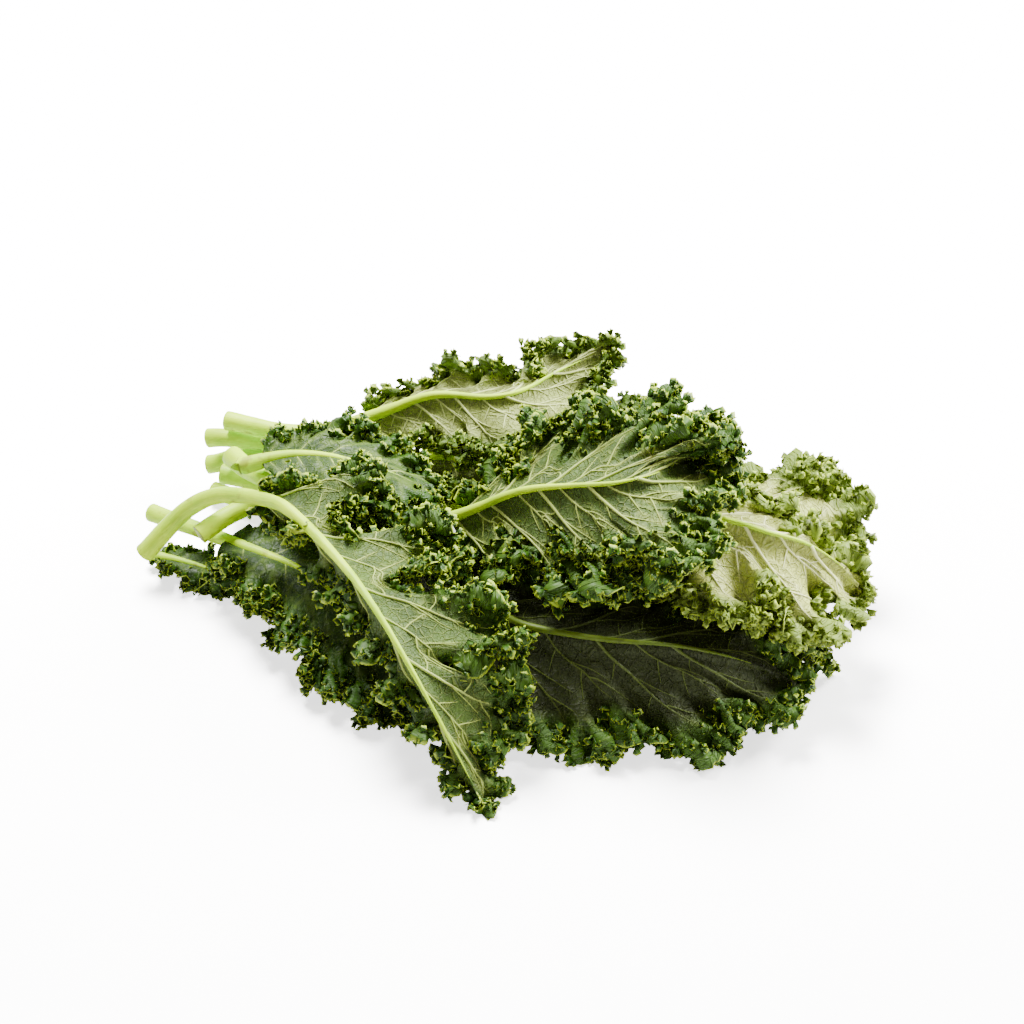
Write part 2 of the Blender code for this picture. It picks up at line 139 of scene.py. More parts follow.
# %% The table of leaves, from the bottom of the heap to the top
# Where a leaf is tucked, its stem up to that x lies under the later leaves.
LEAVES = (
    dict(
        name="leaf_small_left", size=0.62, seed=11, blade_from=0.05,
        spine=((-200, 42, 7), (-183, 36, 8), (-163, 29, 7), (-138, 20, 5)),
        faces=((0, 0, -1), (0, 0.1, -1), (0, 0, -1)),
        left=(24, -12, -10), right=(22, -8, -10),
    ),
    dict(
        name="leaf_left", size=0.95, seed=23, blade_from=0.28,
        spine=((-202, 67, 17), (-172, 46, 22), (-145, 27, 26), (-113, 7, 27), (-88, -17, 24),
               (-68, -42, 18), (-50, -68, 10)),
        faces=((-0.1, 0, -1), (-0.2, 0, -1), (0, 0, -1)),
        left=(60, -12, -8), right=(44, -5, -5),
    ),
    dict(
        name="leaf_low_right", size=0.95, seed=37, blade_from=0.34,
        spine=((-172, 99, 7), (-120, 71, 8), (-51, 35, 10), (15, 4, 16), (67, -19, 26),
               (97, -31, 32), (120, -39, 32), (140, -46, 26), (154, -46, 16)),
        faces=((0, -0.3, 0.95), (0.3, -0.4, 0.85), (0.6, -0.4, 0.7)),
        left=(44, 24, -24), right=(42, 28, -28),
    ),
    dict(
        name="leaf_low_back", size=0.95, seed=131, blade_from=0.36,
        spine=((-158, 96, 7), (-80, 94, 9), (-20, 92, 15), (40, 88, 27), (85, 82, 34),
               (115, 74, 32), (140, 66, 22)),
        faces=((0, 0.1, -1), (0, 0.1, -1), (-0.3, 0, -1)),
        left=(46, -18, -14), right=(44, -20, -16),
    ),
    dict(
        name="leaf_low_front", size=1.0, seed=41, blade_from=0.37,
        spine=((-169, 27, 31), (-153, 39, 35), (-137, 49, 36), (-98, 26, 41), (-48, -23, 53),
               (4, -59, 50), (44, -69, 48), (84, -72, 46), (111, -74, 39), (130, -73, 28)),
        faces=((0, -0.2, 0.95), (0, -0.3, 0.95), (0.3, -0.3, 0.9)),
        left=(58, 10, 10), right=(74, 32, 10),
    ),
    dict(
        name="leaf_right_back", size=1.0, seed=83, blade_from=0.52,
        spine=((-176, 114, 12), (-122, 104, 10), (-52, 91, 14), (16, 67, 26), (69, 41, 42),
               (100, 23, 54), (122, 16, 60), (144, 16, 59), (160, 11, 51), (178, 12, 37)),
        faces=((0, 0, 1), (0.2, 0, 0.95), (0.6, 0, 0.75)),
        left=(70, -3, 0), right=(26, 25, 10),
    ),
    dict(
        name="leaf_right", size=1.05, seed=97, blade_from=0.52,
        spine=((-164, 87, 26), (-119, 77, 24), (-51, 62, 30), (15, 36, 46), (67, 9, 66),
               (90, -12, 80), (102, -18, 84), (116, -23, 85), (131, -27, 81), (148, -26, 72),
               (168, -25, 56), (179, -24, 44)),
        faces=((0, -0.2, 0.95), (0.3, -0.3, 0.9), (0.6, -0.3, 0.7)),
        left=(34, 12, 10), right=(66, 26, 10),
    ),
    dict(
        name="leaf_middle_back", size=1.0, seed=67, blade_from=0.44,
        spine=((-174, 113, 24), (-121, 101, 26), (-74, 90, 36), (-35, 74, 48), (-12, 61, 54),
               (15, 61, 58), (48, 66, 62), (76, 75, 62)),
        faces=((0, -0.2, 0.95), (0, -0.1, 0.95), (0.2, 0, 0.95)),
        left=(64, 5, 12), right=(30, 5, 10),
    ),
    dict(
        name="leaf_back", size=1.0, seed=71, blade_from=0.34,
        spine=((-162, 111, 36), (-126, 99, 38), (-76, 100, 48), (-35, 97, 68), (-2, 87, 80),
               (23, 104, 86), (45, 116, 90)),
        faces=((0, -0.4, 0.9), (0, -0.4, 0.9), (0, -0.3, 0.9)),
        left=(37, 0, 5), right=(36, 5, 8),
    ),
    dict(
        name="leaf_middle", size=0.9, seed=53, blade_from=0.12,
        spine=((-148, 57, 58), (-116, 57, 66), (-90, 50, 68), (-70, 42, 63), (-52, 38, 55)),
        faces=((0, 0.2, -1), (0, 0.1, -1), (0, 0, -1)),
        left=(46, -8, -8), right=(38, -8, -8),
    ),
    dict(
        name="leaf_front", size=1.0, seed=103, blade_from=0.28,
        spine=((-201, 31, 12), (-169, 37, 40), (-139, 23, 60), (-109, -8, 72), (-83, -46, 76),
               (-64, -78, 72), (-49, -99, 58), (-35, -115, 38), (-24, -127, 20), (-16, -137, 7)),
        faces=((0, -0.4, 0.9), (0.1, -0.55, 0.8), (0.2, -0.6, 0.7)),
        left=(76, 10, 8), right=(24, 70, 20),
    ),
    dict(
        name="leaf_top", size=1.1, seed=113, blade_from=0.53, tucked=-34,
        spine=((-157, 87, 40), (-137, 60, 42), (-104, 41, 42), (-65, 24, 48), (-38, 10, 60),
               (-16, 0, 76), (4, -6, 90), (29, -15, 103), (53, -23, 112), (68, -20, 114),
               (80, -9, 111)),
        faces=((0, -0.25, 0.95), (0, -0.25, 0.95), (0, -0.2, 0.95)),
        left=(80, 2, 6), right=(72, 24, 12),
    ),
)

# Shape of every leaf, in millimetres and degrees
CUT_RADIUS = 5.6
TIP_RADIUS = 1.1
TAPER_POWER = 0.85
BLADE_THICKNESS = 0.8
SEAT_GAP = 0.8
RIB_ANGLE = 74.0
RIB_BEND = 16.0
RIB_TURN_POWER = 2.2
BASE_WIDTH = 0.5
TIP_WIDTH = 0.5
TIP_WIDTH_POWER = 1.5
WIDEST_AT = 0.62
LOBES = 5
LOBE_DEPTH = 0.62
LOBE_GAP_POWER = 3
LOBE_FADE_POWER = 0.6
LOBE_SHIFT = 0.3
LOBELESS_TIP = 1 / 6
FOLD_HEIGHT = 7.0
FOLD_LENGTH = 33.0
FOLD_START = 0.25
FOLD_POWER = 1.3
FOLDLESS_BASE = 1 / 12
LEAST_FOLDS = 8

# How unevenly the folds follow each other and how unevenly high they are: amounts and frequencies
FOLD_DRIFT = ((0.9, 3.1), (0.6, 7.3))
FOLD_SWELL = ((0.25, 5.7), (0.2, 11.9))

# Fineness of the solids
STEM_SIDES = 8
BARE_STATIONS = 13
MIDRIB_END = 0.95
BLADE_ROWS = (0.0, 0.38, 0.72, 1.0)
COLUMNS_PER_FOLD = 4
RIB_STEPS = 8
SLOPE_ALONG = 0.001
SLOPE_OUT = 0.02

# How the leaves lie on each other, in millimetres
CELL = 2.0
GAP = 1.6
ANCHOR_REACH = 0.3
TABLE_PRESS = 6.0
SAMPLES = 10
SPREAD_CELLS = 10
SETTLE_PASSES = 8
LIFT_END = 0.02
TUCK_RAMP = 25.0
TUCK_CLEAR = 6.0
TUCKED_BEFORE = "leaf_middle"
print("leaves in the table:", len(LEAVES))

# %% [markdown]
# ## The line of a stem
#
# A stem and its midrib are one line through space. Straight pieces between the points would show as
# kinks, so the line is a chain of smooth cubic arcs, read at even steps. It also carries the way that
# the underside looks, and from the two the direction to the leaf's right follows.

# %% Spine of a leaf
def unit(vectors):
    """The vectors along the last axis, each one unit long."""
    return vectors / np.maximum(np.linalg.norm(vectors, axis=-1, keepdims=True), 1e-9)


class Spine:
    """A smooth line through a leaf's points, with the way that the underside looks at each place."""

    SAMPLES = 240

    def __init__(self, leaf):
        points = np.array(leaf["spine"], float)
        knots = np.concatenate([[0], np.cumsum(np.linalg.norm(np.diff(points, axis=0), axis=1))])
        slopes = np.gradient(points, knots, axis=0)
        at = np.linspace(0, knots[-1], self.SAMPLES)
        k = np.clip(np.searchsorted(knots, at, side="right") - 1, 0, len(knots) - 2)
        span = (knots[k + 1] - knots[k])[:, None]
        t = (at[:, None] - knots[k][:, None]) / span
        line = (
            (2 * t**3 - 3 * t**2 + 1) * points[k]
            + (t**3 - 2 * t**2 + t) * span * slopes[k]
            + (3 * t**2 - 2 * t**3) * points[k + 1]
            + (t**3 - t**2) * span * slopes[k + 1]
        )
        steps = np.linalg.norm(np.diff(line, axis=0), axis=1)
        self.along = np.concatenate([[0], np.cumsum(steps)])
        self.length = self.along[-1]
        self.along /= self.length
        self.line = line
        self.tangents = unit(np.gradient(line, axis=0))
        start = leaf["blade_from"]
        stations = np.array([start, (1 + start) / 2, 1.0])
        faces = unit(np.array(leaf["faces"], float))
        self.faces = self.spread(stations, faces, self.along)

    @staticmethod
    def spread(stations, values, at):
        """Values known at a few stations, read at any place between and held beyond the ends."""
        return np.stack([np.interp(at, stations, values[:, i]) for i in range(values.shape[1])], -1)

    def frame(self, at):
        """Place, tangent, underside direction and right-hand direction at a share of the length."""
        place = self.spread(self.along, self.line, at)
        tangent = unit(self.spread(self.along, self.tangents, at))
        face = self.spread(self.along, self.faces, at)
        face = unit(face - (face * tangent).sum(-1, keepdims=True) * tangent)
        return place, tangent, face, np.cross(tangent, face)


def radius_at(leaf, at):
    """Radius of the stem and midrib at a share of the spine's length."""
    return (CUT_RADIUS + (TIP_RADIUS - CUT_RADIUS) * at**TAPER_POWER) * leaf["size"]


print("first spine, length in mm:", round(Spine(LEAVES[0]).length))

# %% [markdown]
# ## The sheet of a blade
#
# Kale blades are feather-shaped: ribs leave the midrib at a slant, and gaps between the lobes reach
# inwards. The sheet is grown rib by rib with the same rule. A point is named by how far round the
# margin it is and how far out from the midrib, which later places every frill and vein on it. The edge
# is longer than the leaf is wide, so it folds to and fro: these large folds are the solids' own. The
# depth of the gaps is the solids' too, until each fine leaf gets its own further down.

# %% Blade of a leaf
class Blade:
    """The sheet of one leaf. Around runs from -1, at the base of the left side, over the tip at 0 to
    1, at the base of the right side, evenly along the margin. Raw runs the same way, evenly along the
    midrib. Out runs from the midrib to the margin."""

    TABLE = 200

    def __init__(self, leaf):
        self.leaf = leaf
        self.spine = Spine(leaf)
        self.lobe_depth = LOBE_DEPTH
        self.phases = np.random.default_rng(leaf["seed"]).uniform(0, 2 * math.pi, 5)
        self.from_tip = np.linspace(0, 1, self.TABLE)
        run = sum(self.run_along(side * self.from_tip) for side in (-1, 1))
        self.even = run / run[-1]
        self.folds = max(LEAST_FOLDS, round(run[-1] / (FOLD_LENGTH * leaf["size"])))

    def run_along(self, raw):
        """Length of the margin from the first of these raw places to each of them."""
        margin = self.flat(raw, np.ones(len(raw)))
        return np.concatenate([[0], np.cumsum(np.linalg.norm(np.diff(margin, axis=0), axis=1))])

    def raw_at(self, around):
        """The raw place, which is even along the midrib, for a place that is even along the margin."""
        return np.sign(around) * np.interp(np.abs(around), self.even, self.from_tip)

    def columns(self):
        """Number of ribs that the solid's sheet is built on, from base to base."""
        return int(round(self.folds * COLUMNS_PER_FOLD / 4)) * 4

    def rib_length(self, raw):
        """Length of the rib that leaves the midrib at this place, with the lobes and their gaps."""
        along = 1 - np.abs(raw)
        before = BASE_WIDTH + (1 - BASE_WIDTH) * np.sin(np.clip(along / WIDEST_AT, 0, 1) * math.pi / 2)
        beyond = np.clip((along - WIDEST_AT) / (1 - WIDEST_AT), 0, 1)
        after = 1 - (1 - TIP_WIDTH) * beyond**TIP_WIDTH_POWER
        width = np.where(raw < 0, self.leaf["left"][0], self.leaf["right"][0])
        narrow = min(self.leaf["left"][0], self.leaf["right"][0])
        width = width + (narrow - width) * beyond**2
        shift = LOBE_SHIFT * self.phases[0] * np.sign(raw)
        gap = (0.5 + 0.5 * np.cos(2 * math.pi * LOBES * along + shift)) ** LOBE_GAP_POWER
        fade = (1 - along) ** LOBE_FADE_POWER * np.clip(np.abs(raw) / LOBELESS_TIP, 0, 1)
        return width * before * after * (1 - self.lobe_depth * gap * fade)

    def flat(self, raw, out):
        """Points of the sheet before its edge folds, for arrays of raw places and shares outwards."""
        along = 1 - np.abs(raw)
        start = self.leaf["blade_from"]
        at = start + (1 - start) * along
        place, tangent, face, right = self.spine.frame(at)
        seat = radius_at(self.leaf, at) + SEAT_GAP + BLADE_THICKNESS / 2
        place = place - face * seat[..., None]
        side = np.where(raw < 0, -1.0, 1.0)
        fold = np.where(raw < 0, self.leaf["left"][1], self.leaf["right"][1])
        curl = np.where(raw < 0, self.leaf["left"][2], self.leaf["right"][2])
        bow = sum(self.leaf[side][1] + self.leaf[side][2] for side in ("left", "right")) / 4
        angle = RIB_ANGLE * (1 - along**RIB_TURN_POWER)
        step = self.rib_length(raw) * out / RIB_STEPS
        for k in range(RIB_STEPS):
            share = (k + 0.5) / RIB_STEPS * out
            sweep = np.radians(np.maximum(angle - RIB_BEND * share * (1 - along), 0))
            droop = np.radians(fold + curl * share)
            nod = np.radians(bow * share)
            ahead = np.cos(nod)[..., None] * tangent - np.sin(nod)[..., None] * face
            aside = (np.cos(droop) * side)[..., None] * right - np.sin(droop)[..., None] * face
            way = np.cos(sweep)[..., None] * ahead + np.sin(sweep)[..., None] * aside
            place = place + way * step[..., None]
        return place

    @staticmethod
    def waves(kinds, phases, around):
        """The sum of a few long waves along the margin."""
        return sum(
            amount * np.sin(frequency * around + phase)
            for (amount, frequency), phase in zip(kinds, phases)
        )

    def fold_height(self, around, out):
        """How far the folded edge stands off the flat sheet, towards the underside if positive."""
        drift = self.waves(FOLD_DRIFT, self.phases[1:3], around)
        swell = 1 + self.waves(FOLD_SWELL, self.phases[3:5], around)
        rise = np.clip((out - FOLD_START) / (1 - FOLD_START), 0, 1) ** FOLD_POWER
        ends = np.clip((1 - np.abs(around)) / FOLDLESS_BASE, 0, 1)
        wave = np.sin(math.pi * self.folds * around + drift)
        return FOLD_HEIGHT * self.leaf["size"] * rise * swell * ends * wave

    def folded(self, around, out):
        """Points of the sheet with its folded edge."""
        raw = self.raw_at(around)
        here = self.flat(raw, out)
        ahead = self.flat(np.clip(raw + SLOPE_ALONG, -1, 1), out)
        back = self.flat(np.clip(raw - SLOPE_ALONG, -1, 1), out)
        inward = self.flat(raw, np.maximum(out - SLOPE_OUT, 0))
        outward = self.flat(raw, out + SLOPE_OUT)
        normal = unit(np.cross(outward - inward, ahead - back))
        return here + normal * self.fold_height(around, out)[..., None]


print("folds round the top leaf:", Blade(LEAVES[-1]).folds)

# %% [markdown]
# ## The heap
#
# The leaves lie on each other. Simulated cloth could settle them, but each would come out different
# from its solid. So the plain solids are made once more, laid from the bottom to the top as in their
# own source, and what each leaf rises by is kept as a map. The fine leaves then rise by the same map.

# %% Plain solids of a leaf
def anchors_of(blade, around, out, points):
    """Where on the ground plan each point is lifted with: the midrib close to it, and further out
    its own place, so that the sheet stays on its midrib."""
    raw = blade.raw_at(around)
    start = blade.leaf["blade_from"]
    place = blade.spine.frame(start + (1 - start) * (1 - np.abs(raw)))[0]
    own = np.clip(out / ANCHOR_REACH, 0, 1)[..., None]
    return (place * (1 - own) + points * own)[..., :2]


def blade_sheet(blade):
    """Points, triangles and anchors of the blade's middle surface. Both sides share the midrib's points."""
    columns = blade.columns()
    rows = len(BLADE_ROWS)
    around = np.linspace(-1, 1, columns + 1)
    grid_around, grid_out = np.meshgrid(around, np.array(BLADE_ROWS), indexing="ij")
    grid_points = blade.folded(grid_around, grid_out)
    anchors = anchors_of(blade, grid_around, grid_out, grid_points).reshape(-1, 2)
    points = grid_points.reshape(-1, 3)
    index = np.arange(points.shape[0]).reshape(columns + 1, rows)
    for i in range(columns // 2 + 1, columns + 1):
        index[i, 0] = index[columns - i, 0]
    faces = []
    for i in range(columns):
        for j in range(rows - 1):
            a, b, c, d = index[i, j], index[i + 1, j], index[i + 1, j + 1], index[i, j + 1]
            corners = ((a, d, c), (a, c, b)) if (i + j) % 2 else ((a, d, b), (b, d, c))
            faces += [f for f in corners if len(set(f)) == 3]
    return points, np.array(faces), anchors


def thickened(points, faces, thickness):
    """The closed solid of a sheet: both faces with the same triangles, and a rim round the edge."""
    corners = points[faces]
    normals = np.zeros_like(points)
    crossed = np.cross(corners[:, 1] - corners[:, 0], corners[:, 2] - corners[:, 0])
    for k in range(3):
        np.add.at(normals, faces[:, k], crossed)
    normals = unit(normals)
    count = len(points)
    solid = np.concatenate([points + normals * thickness / 2, points - normals * thickness / 2])
    edges = np.concatenate([faces[:, [0, 1]], faces[:, [1, 2]], faces[:, [2, 0]]])
    known = {tuple(e) for e in edges}
    rim = np.array([e for e in edges if (e[1], e[0]) not in known])
    sides = np.concatenate([
        np.stack([rim[:, 1], rim[:, 0], rim[:, 0] + count], 1),
        np.stack([rim[:, 1], rim[:, 0] + count, rim[:, 1] + count], 1),
    ])
    return solid, np.concatenate([faces, faces[:, ::-1] + count, sides])


def stem_stations(blade):
    """Places along the spine for the stem's rings: along the blade they are at every second rib."""
    start = blade.leaf["blade_from"]
    raw = blade.raw_at(np.linspace(-1, 0, blade.columns() // 2 + 1)[::2])
    along_blade = start + (1 - start) * (1 + raw)
    bare = np.linspace(0, start, max(2, round(start * BARE_STATIONS)), endpoint=False)
    return np.concatenate([bare, along_blade[along_blade < MIDRIB_END]])


def stem_tube(blade):
    """Points, faces and anchors of the stem and midrib, thick at the cut end and thin at the tip."""
    leaf = blade.leaf
    at = stem_stations(blade)
    place, _, face, right = blade.spine.frame(at)
    turn = np.arange(STEM_SIDES) * 2 * math.pi / STEM_SIDES
    ring = np.cos(turn)[:, None, None] * right + np.sin(turn)[:, None, None] * face
    points = (place + ring * radius_at(leaf, at)[:, None]).transpose(1, 0, 2).reshape(-1, 3)
    anchors = np.repeat(place[:, :2], STEM_SIDES, axis=0)
    faces = []
    for i in range(len(at) - 1):
        for j in range(STEM_SIDES):
            a, b = i * STEM_SIDES + j, i * STEM_SIDES + (j + 1) % STEM_SIDES
            faces.append((a, b, b + STEM_SIDES, a + STEM_SIDES))
    faces.append(tuple(range(STEM_SIDES))[::-1])
    faces.append(tuple(range((len(at) - 1) * STEM_SIDES, len(at) * STEM_SIDES)))
    return points, faces, anchors


def corners_of(points, faces):
    """The corners of every triangle, with each longer face as a fan."""
    fans = [(f[0], f[k], f[k + 1]) for f in faces for k in range(1, len(f) - 1)]
    return points[np.array(fans)]


def leaf_shapes(blade):
    """The plain stem and blade of one leaf, each as points, faces and anchors."""
    points, faces, anchors = blade_sheet(blade)
    solid_points, solid_faces = thickened(points, faces, BLADE_THICKNESS)
    return [stem_tube(blade), (solid_points, solid_faces, np.concatenate([anchors, anchors]))]


print("corners of the top leaf's plain blade:", len(blade_sheet(Blade(LEAVES[-1]))[0]))

# %% [markdown]
# The heap is a grid of heights. For each leaf in turn, the cells that it would sink into say how far
# it has to rise. That rise is spread smoothly over the cells around, and then the leaf's own top is
# added to the heap for the leaves to come.

# %% Heap of leaves
def samples_of(points, faces):
    """Points spread evenly over every face."""
    a, b = np.meshgrid(np.arange(SAMPLES + 1), np.arange(SAMPLES + 1))
    inside = a + b <= SAMPLES
    shares = np.stack([a[inside], b[inside], SAMPLES - a[inside] - b[inside]], -1) / SAMPLES
    return np.einsum("sk,fkd->fsd", shares, corners_of(points, faces)).reshape(-1, 3)


def windowed(grid, reach, combine):
    """Each cell's neighbourhood, this many cells each way, brought to one number."""
    padded = np.pad(grid, reach, mode="edge")
    side = 2 * reach + 1
    return combine(np.lib.stride_tricks.sliding_window_view(padded, (side, side)), axis=(2, 3))


class Heap:
    """The heights of what already lies on the table, over a grid of square cells."""

    def __init__(self, low, high):
        self.low = np.array(low, float)
        cells = np.ceil((np.array(high) - self.low) / CELL).astype(int) + 1
        self.top = np.full(cells, -TABLE_PRESS - GAP)

    def cell(self, points):
        """The cell that each point is over."""
        found = np.round((points[:, :2] - self.low) / CELL).astype(int)
        return tuple(np.clip(found, 0, np.array(self.top.shape) - 1).T)

    def lift_needed(self, samples):
        """How far each cell has to rise for the samples to clear what lies below, spread smoothly."""
        bottom = np.full(self.top.shape, np.inf)
        np.minimum.at(bottom, self.cell(samples), samples[:, 2])
        need = np.clip(windowed(self.top, 1, np.max) + GAP - bottom, 0, None)
        need = np.where(np.isfinite(bottom), need, 0)
        if need.max() < LIFT_END:
            return None
        wide = windowed(need, SPREAD_CELLS, np.max)
        half = SPREAD_CELLS // 2
        return windowed(windowed(wide, half, np.mean), SPREAD_CELLS - half, np.mean)

    def add(self, samples):
        """Raises the cells under the samples to them."""
        np.maximum.at(self.top, self.cell(samples), samples[:, 2])


def lifted(heap, points, anchors, lift):
    """The points, each raised by the lift of the four cells round its anchor."""
    place = np.clip((anchors - heap.low) / CELL, 0, np.array(lift.shape) - 1.001)
    i, j = np.floor(place).astype(int).T
    u, v = (place - np.floor(place)).T
    rise = (
        lift[i, j] * (1 - u) * (1 - v) + lift[i + 1, j] * u * (1 - v)
        + lift[i, j + 1] * (1 - u) * v + lift[i + 1, j + 1] * u * v
    )
    return points + np.stack([0 * rise, 0 * rise, rise], -1)


def rested(points, thickness):
    """The points pressed flat where they would sink into the table, the thickness apart in a sheet."""
    flat = points.copy()
    half = len(points) // 2
    least = np.zeros(len(points))
    if thickness:
        first_above = points[:half, 2] >= points[half:, 2]
        least = thickness * np.concatenate([first_above, ~first_above])
    flat[:, 2] = np.maximum(flat[:, 2], least)
    return flat


def turns():
    """The order in which the leaves are laid, each with the stretch of x that is laid in its turn."""
    order = []
    for index, leaf in enumerate(LEAVES):
        if leaf["name"] == TUCKED_BEFORE:
            order += [(k, -math.inf, late["tucked"]) for k, late in enumerate(LEAVES) if "tucked" in late]
        order.append((index, leaf.get("tucked", -math.inf), math.inf))
    return order


def stretch_of(shape, low, high):
    """Samples of a leaf's stem and blade between two places along x."""
    samples = np.concatenate([samples_of(points, faces) for points, faces, _ in shape])
    return samples[(samples[:, 0] >= low) & (samples[:, 0] < high)]


def settle(shapes):
    """Lays the plain leaves on the table and on each other, and returns the heap and each leaf's rise."""
    every = np.concatenate([points for leaf in shapes for points, _, _ in leaf])
    heap = Heap(every[:, :2].min(0) - CELL * 2, every[:, :2].max(0) + CELL * 2)
    lifts = [np.zeros(heap.top.shape) for _ in shapes]
    across = heap.low[0] + CELL * np.arange(heap.top.shape[0])
    for index, low, high in turns():
        leaf = shapes[index]
        ramp = np.clip((across - low) / TUCK_RAMP, 0, 1)[:, None]
        for _ in range(SETTLE_PASSES):
            lift = heap.lift_needed(stretch_of(leaf, low, high))
            if lift is None:
                break
            lifts[index] += lift * ramp
            leaf[:] = [(lifted(heap, p, anchors, lift * ramp), f, anchors) for p, f, anchors in leaf]
        leaf[:] = [(rested(p, thick), f, a) for (p, f, a), thick in zip(leaf, (0, BLADE_THICKNESS))]
        heap.add(stretch_of(leaf, low, high - TUCK_CLEAR))
    return heap, lifts


blades = [Blade(leaf) for leaf in LEAVES]
plain = [leaf_shapes(blade) for blade in blades]
heap, lifts = settle(plain)
every = np.concatenate([points for leaf in plain for points, _, _ in leaf])
middle = (every.min(0) + every.max(0)) / 2 * (1, 1, 0)
print("largest rise of each leaf in mm:", [round(float(lift.max())) for lift in lifts])

# %% [markdown]
# ## The fine sheet
#
# The real blade is smooth near the midrib and gets ever busier towards its edge. An even grid would
# waste its points in the middle, so the sheet has three bands, each with twice as many ribs as the one
# inside it. Each point is named by its place round the margin and its share of the way out, as before.

# %% Bands of the fine sheet
COLUMN_WIDTH = 1.0
# For each band, how many of the edge's columns make one of its own, and how far out its rows are
BANDS = (
    (4, (0.0, 0.07, 0.15, 0.24, 0.33, 0.42)),
    (2, (0.49, 0.55, 0.61, 0.67)),
    (1, (0.73, 0.79, 0.85, 0.905, 0.955, 1.0)),
)


def fine_sheet(blade):
    """Places round the margin, shares outwards and faces of the fine sheet."""
    coarsest = BANDS[0][0]
    columns = 2 * coarsest * round(blade.margin / (COLUMN_WIDTH * 2 * coarsest))
    around, out, rows = [], [], []
    for step, shares in BANDS:
        for share in shares:
            places = np.linspace(-1, 1, columns // step + 1)
            index = np.arange(len(places)) + sum(map(len, around))
            if share == 0:
                index[len(index) // 2:] = index[len(index) // 2::-1]
            around.append(places)
            out.append(np.full(len(places), share))
            rows.append(index)
    faces = []
    for inner, outer in zip(rows, rows[1:]):
        a, b = inner[:-1], inner[1:]
        if len(inner) == len(outer):
            faces += np.stack([b, outer[1:], outer[:-1], a], 1).tolist()
        else:
            c, m, d = outer[:-2:2], outer[1::2], outer[2::2]
            faces += [*np.stack([m, c, a], 1).tolist(), *np.stack([b, m, a], 1).tolist()]
            faces += np.stack([d, m, b], 1).tolist()
    return np.concatenate(around), np.concatenate(out), faces


for blade in blades:
    blade.margin = sum(blade.run_along(side * blade.from_tip)[-1] for side in (-1, 1))
print("corners of the top leaf's sheet:", len(fine_sheet(blades[-1])[0]))

# %% [markdown]
# ## What differs from leaf to leaf
#
# Old leaves of a plant are creamy and open, young ones dark and curled to the midrib. The solids leave
# that out, so each leaf gets it here: its tone, how far out its frills begin, how they crowd, and how
# deep the gaps between its lobes are. Dense frills close most of a real leaf's gaps, so nine leaves have
# shallower gaps than their solids. Those of the right and top leaf are a little deeper and those of the
# front leaf much deeper, as in the photo. Two leaves also reach further on one side, because the floor
# would show through the heap beside their solids.
# The creamy tone also carries painted light on leaves that lie in bright light, and the dark tone painted
# shade on leaves that lie in shade.

# %% Tone, frills and lobes of each leaf
# Tone from -1 for dark, partly painted shade, to 1 for creamy, partly painted light, share of the way out
# where the frills begin, how densely the ruffles stand and how deep the gaps between the lobes are
FINISH_OF = {
    "leaf_small_left": (-0.2, 0.42, 0.9, 0.36),
    "leaf_left": (0.0, 0.42, 0.9, 0.36),
    "leaf_low_right": (0.2, 0.55, 0.8, 0.36),
    "leaf_low_back": (0.0, 0.5, 0.6, 0.2),
    "leaf_low_front": (-1.0, 0.6, 0.9, 0.36),
    "leaf_right_back": (0.8, 0.5, 0.8, 0.36),
    "leaf_right": (0.95, 0.62, 1.0, 0.7),
    "leaf_middle_back": (0.2, 0.5, 0.8, 0.2),
    "leaf_back": (0.3, 0.55, 1.0, 0.2),
    "leaf_middle": (0.0, 0.36, 1.0, 0.2),
    "leaf_front": (0.0, 0.5, 1.35, 0.9),
    "leaf_top": (0.0, 0.46, 0.9, 0.66),
}
# The width of a side in mm, its droop and its curl in degrees, where it is wider than on the solid
WIDER = {"leaf_middle": {"left": (60, -8, -8)}, "leaf_back": {"right": (47, 5, 8)}}

for blade, lift in zip(blades, lifts):
    blade.lift = lift
    blade.leaf = {**blade.leaf, **WIDER.get(blade.leaf["name"], {})}
    blade.tone, blade.frilled_from, blade.crowding, blade.lobe_depth = FINISH_OF[blade.leaf["name"]]
print("creamiest leaf:", max(blades, key=lambda blade: blade.tone).leaf["name"])

# %% [markdown]
# ## Where the skin lies
#
# On the solids the blade floats just off its midrib. A real blade grows out of the midrib's flanks, so
# here it sinks in next to it. Two directions go with each point, for the frills to follow later: the way
# that the underside looks and the way ahead along the margin. A second function spreads the leaf out
# flat, as if it were pressed in a book, because that is where patterns can be laid without stretching.

# %% Skin of a leaf
# Where on the midrib's flank the blade starts and how far out it still sinks, both in midrib radii
FLANK = 0.25
FLANK_REACH = 2.0
# The steps that the two directions are measured over
STEP_AROUND = 0.0015
STEP_OUT = 0.02


def skin(blade, around, out):
    """Points of the leaf in the heap, with the underside's direction and the direction ahead."""
    here = blade.folded(around, out)
    ahead = unit(
        blade.folded(np.clip(around + STEP_AROUND, -1, 1), out)
        - blade.folded(np.clip(around - STEP_AROUND, -1, 1), out)
    )
    outward = blade.folded(around, out + STEP_OUT) - blade.folded(around, np.maximum(out - STEP_OUT, 0))
    under = unit(np.cross(ahead, outward))
    raw = blade.raw_at(around)
    start = blade.leaf["blade_from"]
    at = start + (1 - start) * (1 - np.abs(raw))
    face = blade.spine.frame(at)[2]
    radius = radius_at(blade.leaf, at)
    seat = radius + SEAT_GAP + BLADE_THICKNESS / 2
    depth = out * blade.rib_length(raw)
    sink = (seat - FLANK * radius) * np.exp(-(depth / (FLANK_REACH * radius)) ** 2)
    points = here + face * sink[..., None]
    raised = lifted(heap, points, anchors_of(blade, around, out, points), blade.lift)
    return raised - middle, under, ahead


